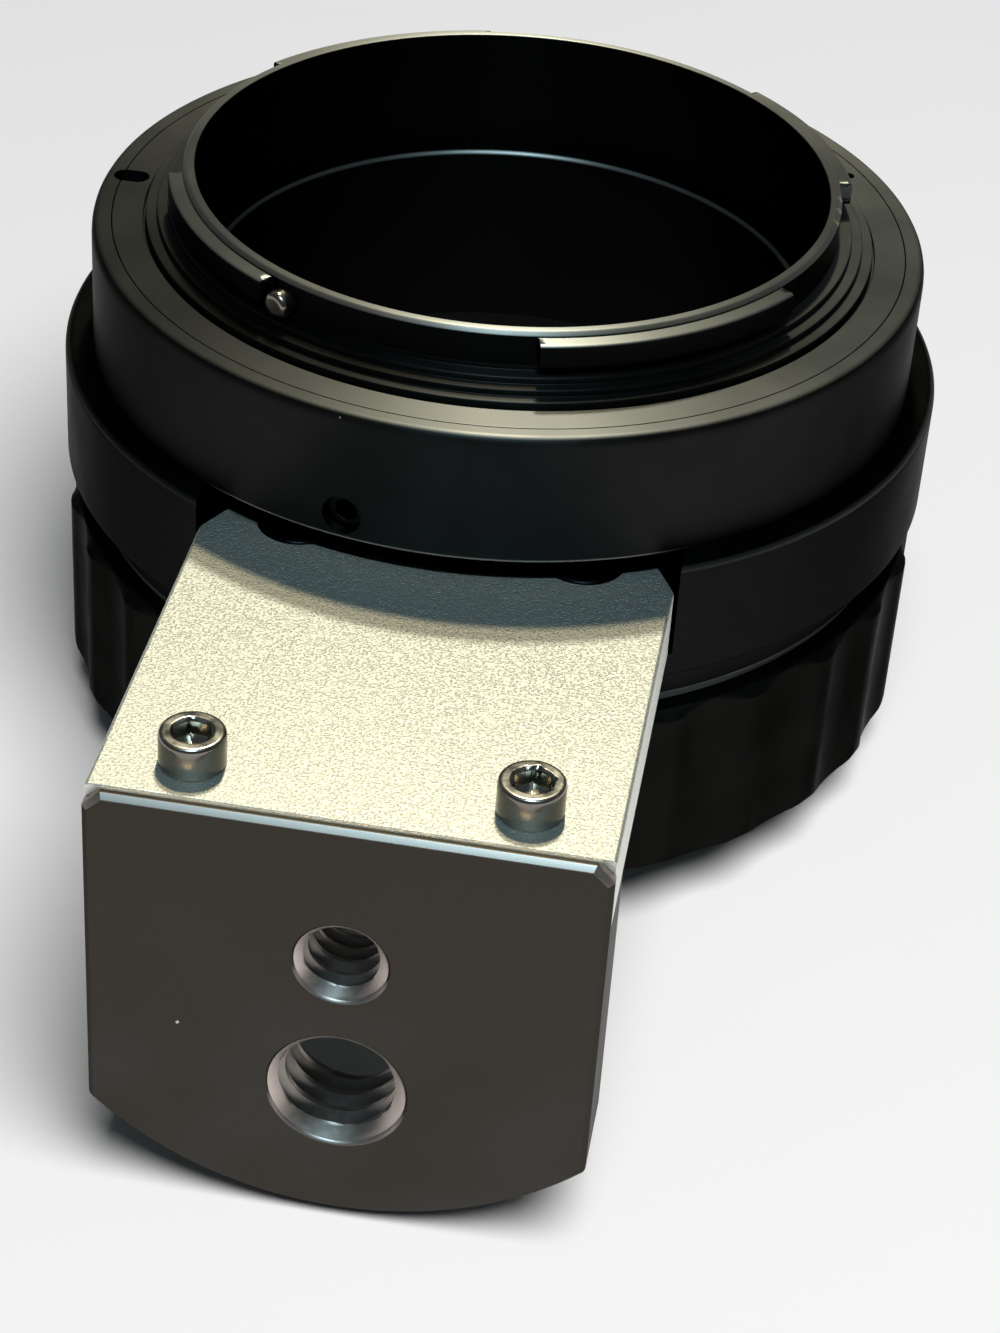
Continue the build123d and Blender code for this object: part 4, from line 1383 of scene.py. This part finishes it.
class ADAPTER_OT_foot_screws(bpy.types.Operator):
    """Build the bright screws on the foot and the black ones on its tail"""

    bl_idname = "adapter.foot_screws"
    bl_label = "Foot Screws"

    def execute(self, context):
        sizes = settings().foot
        kinds = (
            ("plate_screw", sizes.plate_head, sizes.plate_shank, sizes.plate_socket,
             sizes.plate_socket_depth, "bright_steel", "nickel_steel"),
            ("tail_screw", sizes.tail_head, sizes.tail_shank, sizes.tail_socket,
             sizes.tail_socket_depth, "black_steel", "black_oxide"),
        )
        for kind, height, shank, across, socket_depth, slot, finish in kinds:
            for side, spin, chip in SCREW_SIDES:
                node = f"{kind}_{side}"
                low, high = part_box(node)
                head = (high.x - low.x) / 2
                seat = high.z - height
                mesh = socket_screw_mesh(
                    node, head, height, shank, seat - low.z, across, socket_depth, sizes.head_round, chip
                )
                middle = middle_of(node)
                place = Matrix.Translation((middle.x, middle.y, seat)) @ Matrix.Rotation(spin, 4, "Z")
                mesh.transform(place)
                piece = add_object(f"{kind}_head_{side}", mesh)
                dress(piece, BODY, finish, [node])
        return {"FINISHED"}


class ADAPTER_OT_set_screws(bpy.types.Operator):
    """Build the housing's three set screws"""

    bl_idname = "adapter.set_screws"
    bl_label = "Set Screws"

    def execute(self, context):
        sizes = settings().body
        bevel_width = 0.08 * MM
        bevel = 0.1 * MM
        reach = sizes.set_tip - sizes.set_sunk
        socket_floor = reach - sizes.set_socket_depth
        for node in SET_SCREWS:
            low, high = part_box(node)
            radius = (high.z - low.z) / 2
            sections = []
            for turn in even_turns(SCREW_SEGMENTS):
                flat = hexagon_radius(sizes.set_socket, turn)
                outline = softened([
                    (0, 0, 0),
                    (radius, 0, EASED),
                    (radius, reach, EASED),
                    (flat + bevel_width, reach, FINE),
                    (flat, reach - bevel, FINE),
                    (flat, socket_floor, FINE),
                    (0, socket_floor - bevel, 0),
                ])
                sections.append((turn, outline))
            mesh = ring_mesh(node, sections, closed=False)
            mesh.transform(set_screw_place(node))
            piece = add_object(f"{node}_socket", mesh)
            dress(piece, BODY, "black_oxide", [node])
        return {"FINISHED"}


class ADAPTER_OT_stop_pin(bpy.types.Operator):
    """Build the bright stop pin in the barrel's wall"""

    bl_idname = "adapter.stop_pin"
    bl_label = "Stop Pin"

    def execute(self, context):
        sizes = settings().bayonet
        low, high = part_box("stop_pin")
        radius = (high.z - low.z) / 2
        crown = 0.75 * radius
        reach = sizes.wall + sizes.lug_reach - sizes.pin_inset
        outline = softened([
            (0, 0, 0),
            (radius, 0, FINE),
            (radius, reach - sizes.pin_round, sizes.pin_round),
            (crown, reach, sizes.pin_round),
            (0, reach, 0),
        ])
        mesh = lathe_mesh("pin", outline, SCREW_SEGMENTS, closed=False)
        start = sizes.throat + sizes.pin_inset
        mesh.transform(radial_place(sizes.pin_angle, start, middle_of("stop_pin").z))
        piece = add_object("stop_pin_domed", mesh)
        dress(piece, BODY, "nickel_steel", ["stop_pin"])
        return {"FINISHED"}


def ring_outline(sizes, with_tab):
    """The lock ring's half-section, through a tab or between two tabs."""
    low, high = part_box("lock_ring")
    seat_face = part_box("lens_seat")[0].z
    bottom = low.z
    top = high.z
    rib_top = top - sizes.top_rise
    rib_foot = seat_face + sizes.rib_bottom
    tab_foot = bottom + sizes.tab_rise
    tab_top = tab_foot + sizes.tab_height
    corners = [
        (sizes.bearing, rib_foot, FINE),
        (sizes.counterbore, rib_foot, FINE),
        (sizes.counterbore, tab_top, FINE),
    ]
    if with_tab:
        tip = sizes.counterbore - sizes.tab_reach
        corners += [(tip, tab_top, EASED), (tip, tab_foot, EASED)]
    else:
        middle = (tab_top + tab_foot) / 2
        corners += [(sizes.counterbore, middle + EASED, FINE), (sizes.counterbore, middle - EASED, FINE)]
    corners += [
        (sizes.counterbore, tab_foot, FINE),
        (sizes.counterbore, bottom, EASED),
        (sizes.grip, bottom, sizes.bottom_round),
        (sizes.grip, top - sizes.top_bevel, FINE),
        (sizes.grip - sizes.top_bevel, top, FINE),
        (sizes.washer_recess, top, FINE),
        (sizes.washer_recess, rib_top, FINE),
        (sizes.bearing, rib_top, FINE),
    ]
    return softened(corners)


def fluted(sizes, turn, points):
    """An outline cut back to the flute that lies at an angle."""
    pitch = 2 * math.pi / sizes.flutes
    off = (turn + pitch / 2) % pitch - pitch / 2
    cutter = sizes.flute_width**2 / (8 * sizes.flute_depth) + sizes.flute_depth / 2
    centre = sizes.grip - sizes.flute_depth + cutter
    side = centre * math.sin(off)
    floor = centre * math.cos(off) - math.sqrt(max(0, cutter**2 - side**2))
    return [Vector((min(point.x, floor), point.y)) for point in points]


class ADAPTER_OT_lock_ring(bpy.types.Operator):
    """Build the scalloped lock ring with its clamping tabs"""

    bl_idname = "adapter.lock_ring"
    bl_label = "Lock Ring"

    def execute(self, context):
        sizes = settings().ring
        plain = ring_outline(sizes, False)
        tabbed = ring_outline(sizes, True)
        step = 2 * math.pi / sizes.tabs
        sectors = [(step * (index + 0.5), sizes.tab_width) for index in range(sizes.tabs)]
        turns = sector_turns(sectors, sizes.flutes * FLUTE_SEGMENTS, LUG_RAMP)
        sections = [
            (turn, fluted(sizes, turn, between(plain, tabbed, inside))) for turn, inside in turns
        ]
        piece = add_object("scalloped_grip", ring_mesh("grip", sections))
        circle = circle_points(sizes.screw_hole, HOLE_SEGMENTS)
        hole = prism_mesh("hole", circle, -MM, sizes.grip - sizes.bearing + MM)
        height = middle_of("stop_screw").z
        hole.transform(radial_place(turn_of("stop_screw"), sizes.bearing, height))
        cut(piece, [hole])
        dress(piece, RING, "matt_grip", ["lock_ring"])
        return {"FINISHED"}


class ADAPTER_OT_inner_pieces(bpy.types.Operator):
    """Finish the lens seat, its screws, pin and shim, the friction washer and the stop screw"""

    bl_idname = "adapter.inner_pieces"
    bl_label = "Lens Seat and Inner Pieces"

    def execute(self, context):
        coat_node("lens_seat", "ground_steel")
        coat_node("seat_screws", "nickel_steel")
        coat_node("index_pin", "nickel_steel")
        coat_node("seat_shim", "rolled_brass")
        coat_node("friction_washer", "washer_nylon")
        coat_node("stop_screw", "black_oxide")
        return {"FINISHED"}


# Stage

class ADAPTER_OT_stage(bpy.types.Operator):
    """Set the camera, the floor that the adapter leans on, and the lights"""

    bl_idname = "adapter.stage"
    bl_label = "Stage"

    def execute(self, context):
        scene = context.scene
        stage = settings().stage
        colours = settings().colours
        scene.view_settings.view_transform = "Standard"
        self.add_camera(scene, stage)
        floor = self.add_floor(stage)
        self.add_lights(scene, stage, colours, floor)
        return {"FINISHED"}

    def add_camera(self, scene, stage):
        """The camera at the photograph's place."""
        camera = add_object("camera", bpy.data.cameras.new("camera"))
        camera.data.sensor_fit = "VERTICAL"
        camera.data.sensor_height = SENSOR_HEIGHT
        camera.data.lens = stage.focal_pixels / IMAGE_HEIGHT * SENSOR_HEIGHT
        camera.data.clip_start = 10 * MM
        heading = Matrix.Rotation(-stage.camera_heading, 4, "Z")
        pitch = Matrix.Rotation(stage.camera_pitch + math.pi / 2, 4, "X")
        roll = Matrix.Rotation(stage.camera_roll, 4, "Z")
        place = Matrix.Translation((stage.camera_x, stage.camera_y, stage.camera_z))
        camera.matrix_world = place @ heading @ pitch @ roll
        scene.camera = camera

    def add_floor(self, stage):
        """A floor that the foot's lowest edge and the ring's far edge rest on."""
        foot_low, foot_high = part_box("foot_plate")
        ring_low, ring_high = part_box("lock_ring")
        heel = Vector((0, foot_high.y, foot_low.z))
        far = Vector((0, ring_high.y - settings().ring.bottom_round, ring_low.z))
        tilt = math.atan2(far.z - heel.z, far.y - heel.y)
        reach = stage.floor_reach
        mesh = bpy.data.meshes.new("floor")
        corners = [(-reach, -reach, 0), (reach, -reach, 0), (reach, reach, 0), (-reach, reach, 0)]
        mesh.from_pydata(corners, [], [(0, 1, 2, 3)])
        mesh.materials.append(finish_of("pale_floor"))
        floor = add_object("floor", mesh)
        floor.matrix_world = Matrix.Translation(heel) @ Matrix.Rotation(tilt, 4, "X")
        return floor

    def add_lights(self, scene, stage, colours, floor):
        """Two lamps behind, a cool window above the camera, a soft lamp for the floor, and the room."""
        apart = bpy.data.collections.new("apart from the floor")
        apart.objects.link(floor)
        apart.collection_objects[0].light_linking.link_state = "EXCLUDE"
        alone = bpy.data.collections.new("the floor alone")
        alone.objects.link(floor)
        behind = math.pi / 2
        in_front = -math.pi / 2
        lamp = self.add_lamp("lamp", stage.lamp_size, stage.lamp_power, colours.lamp, apart)
        self.aim(lamp, behind + stage.lamp_turn, stage.lamp_rise, stage.lamp_distance)
        upper = self.add_lamp("upper lamp", stage.lamp_size, stage.upper_power, colours.upper_lamp, apart)
        self.aim(upper, behind + stage.upper_turn, stage.upper_rise, stage.lamp_distance)
        window = self.add_lamp("window", stage.window_size, stage.window_power, colours.window, apart)
        self.aim(window, in_front + stage.window_turn, stage.window_rise, stage.window_distance)
        soft = self.add_lamp("floor lamp", stage.floor_size, stage.floor_power, colours.floor_lamp, alone)
        self.aim(soft, in_front + stage.floor_turn, stage.floor_rise, stage.floor_distance)
        world = bpy.data.worlds.new("room")
        world.use_nodes = True
        background = world.node_tree.nodes["Background"]
        background.inputs["Color"].default_value = (*colours.fill, 1)
        background.inputs["Strength"].default_value = stage.fill_strength
        scene.world = world

    def add_lamp(self, name, size, watts, tint, lit):
        """A round soft lamp of a size, a power and a colour, and what it lights."""
        lamp = add_object(name, bpy.data.lights.new(name, "AREA"))
        lamp.data.shape = "DISK"
        lamp.data.size = size
        lamp.data.energy = watts
        lamp.data.color = tint
        lamp.light_linking.receiver_collection = lit
        return lamp

    def aim(self, lamp, turn, rise, distance):
        """Places a lamp in a direction and turns it to the middle of the adapter and its foot."""
        target = Vector((0, -20, -10)) * MM
        lamp.location = target + polar(math.cos(rise), turn, math.sin(rise)) * distance
        lamp.rotation_euler = (target - lamp.location).to_track_quat("-Z", "Y").to_euler()


# Panel and registration

STEPS = (
    ADAPTER_OT_stage,
    ADAPTER_OT_bayonet_mount,
    ADAPTER_OT_housing,
    ADAPTER_OT_main_body,
    ADAPTER_OT_foot_arm,
    ADAPTER_OT_foot_plate,
    ADAPTER_OT_foot_screws,
    ADAPTER_OT_set_screws,
    ADAPTER_OT_stop_pin,
    ADAPTER_OT_lock_ring,
    ADAPTER_OT_inner_pieces,
)


class ADAPTER_PT_pieces(bpy.types.Panel):
    """The adapter's pieces, in the order in which they are built"""

    bl_idname = "ADAPTER_PT_pieces"
    bl_label = "Lens Mount Adapter"
    bl_space_type = "VIEW_3D"
    bl_region_type = "UI"
    bl_category = "Adapter"

    def draw(self, context):
        for step in STEPS:
            self.layout.operator(step.bl_idname)


GROUPS = (BayonetSizes, BodySizes, FootSizes, LockRingSizes, FinishColours, StageSettings, AdapterSettings)
CLASSES = GROUPS + STEPS + (ADAPTER_PT_pieces,)


def register():
    for cls in CLASSES:
        bpy.utils.register_class(cls)
    bpy.types.Scene.lens_adapter = PointerProperty(type=AdapterSettings)


def unregister():
    del bpy.types.Scene.lens_adapter
    for cls in reversed(CLASSES):
        bpy.utils.unregister_class(cls)


def main():
    """Builds every piece and the stage."""
    register()
    for step in STEPS:
        group, name = step.bl_idname.split(".")
        getattr(getattr(bpy.ops, group), name)()


if __name__ == "__main__":
    main()
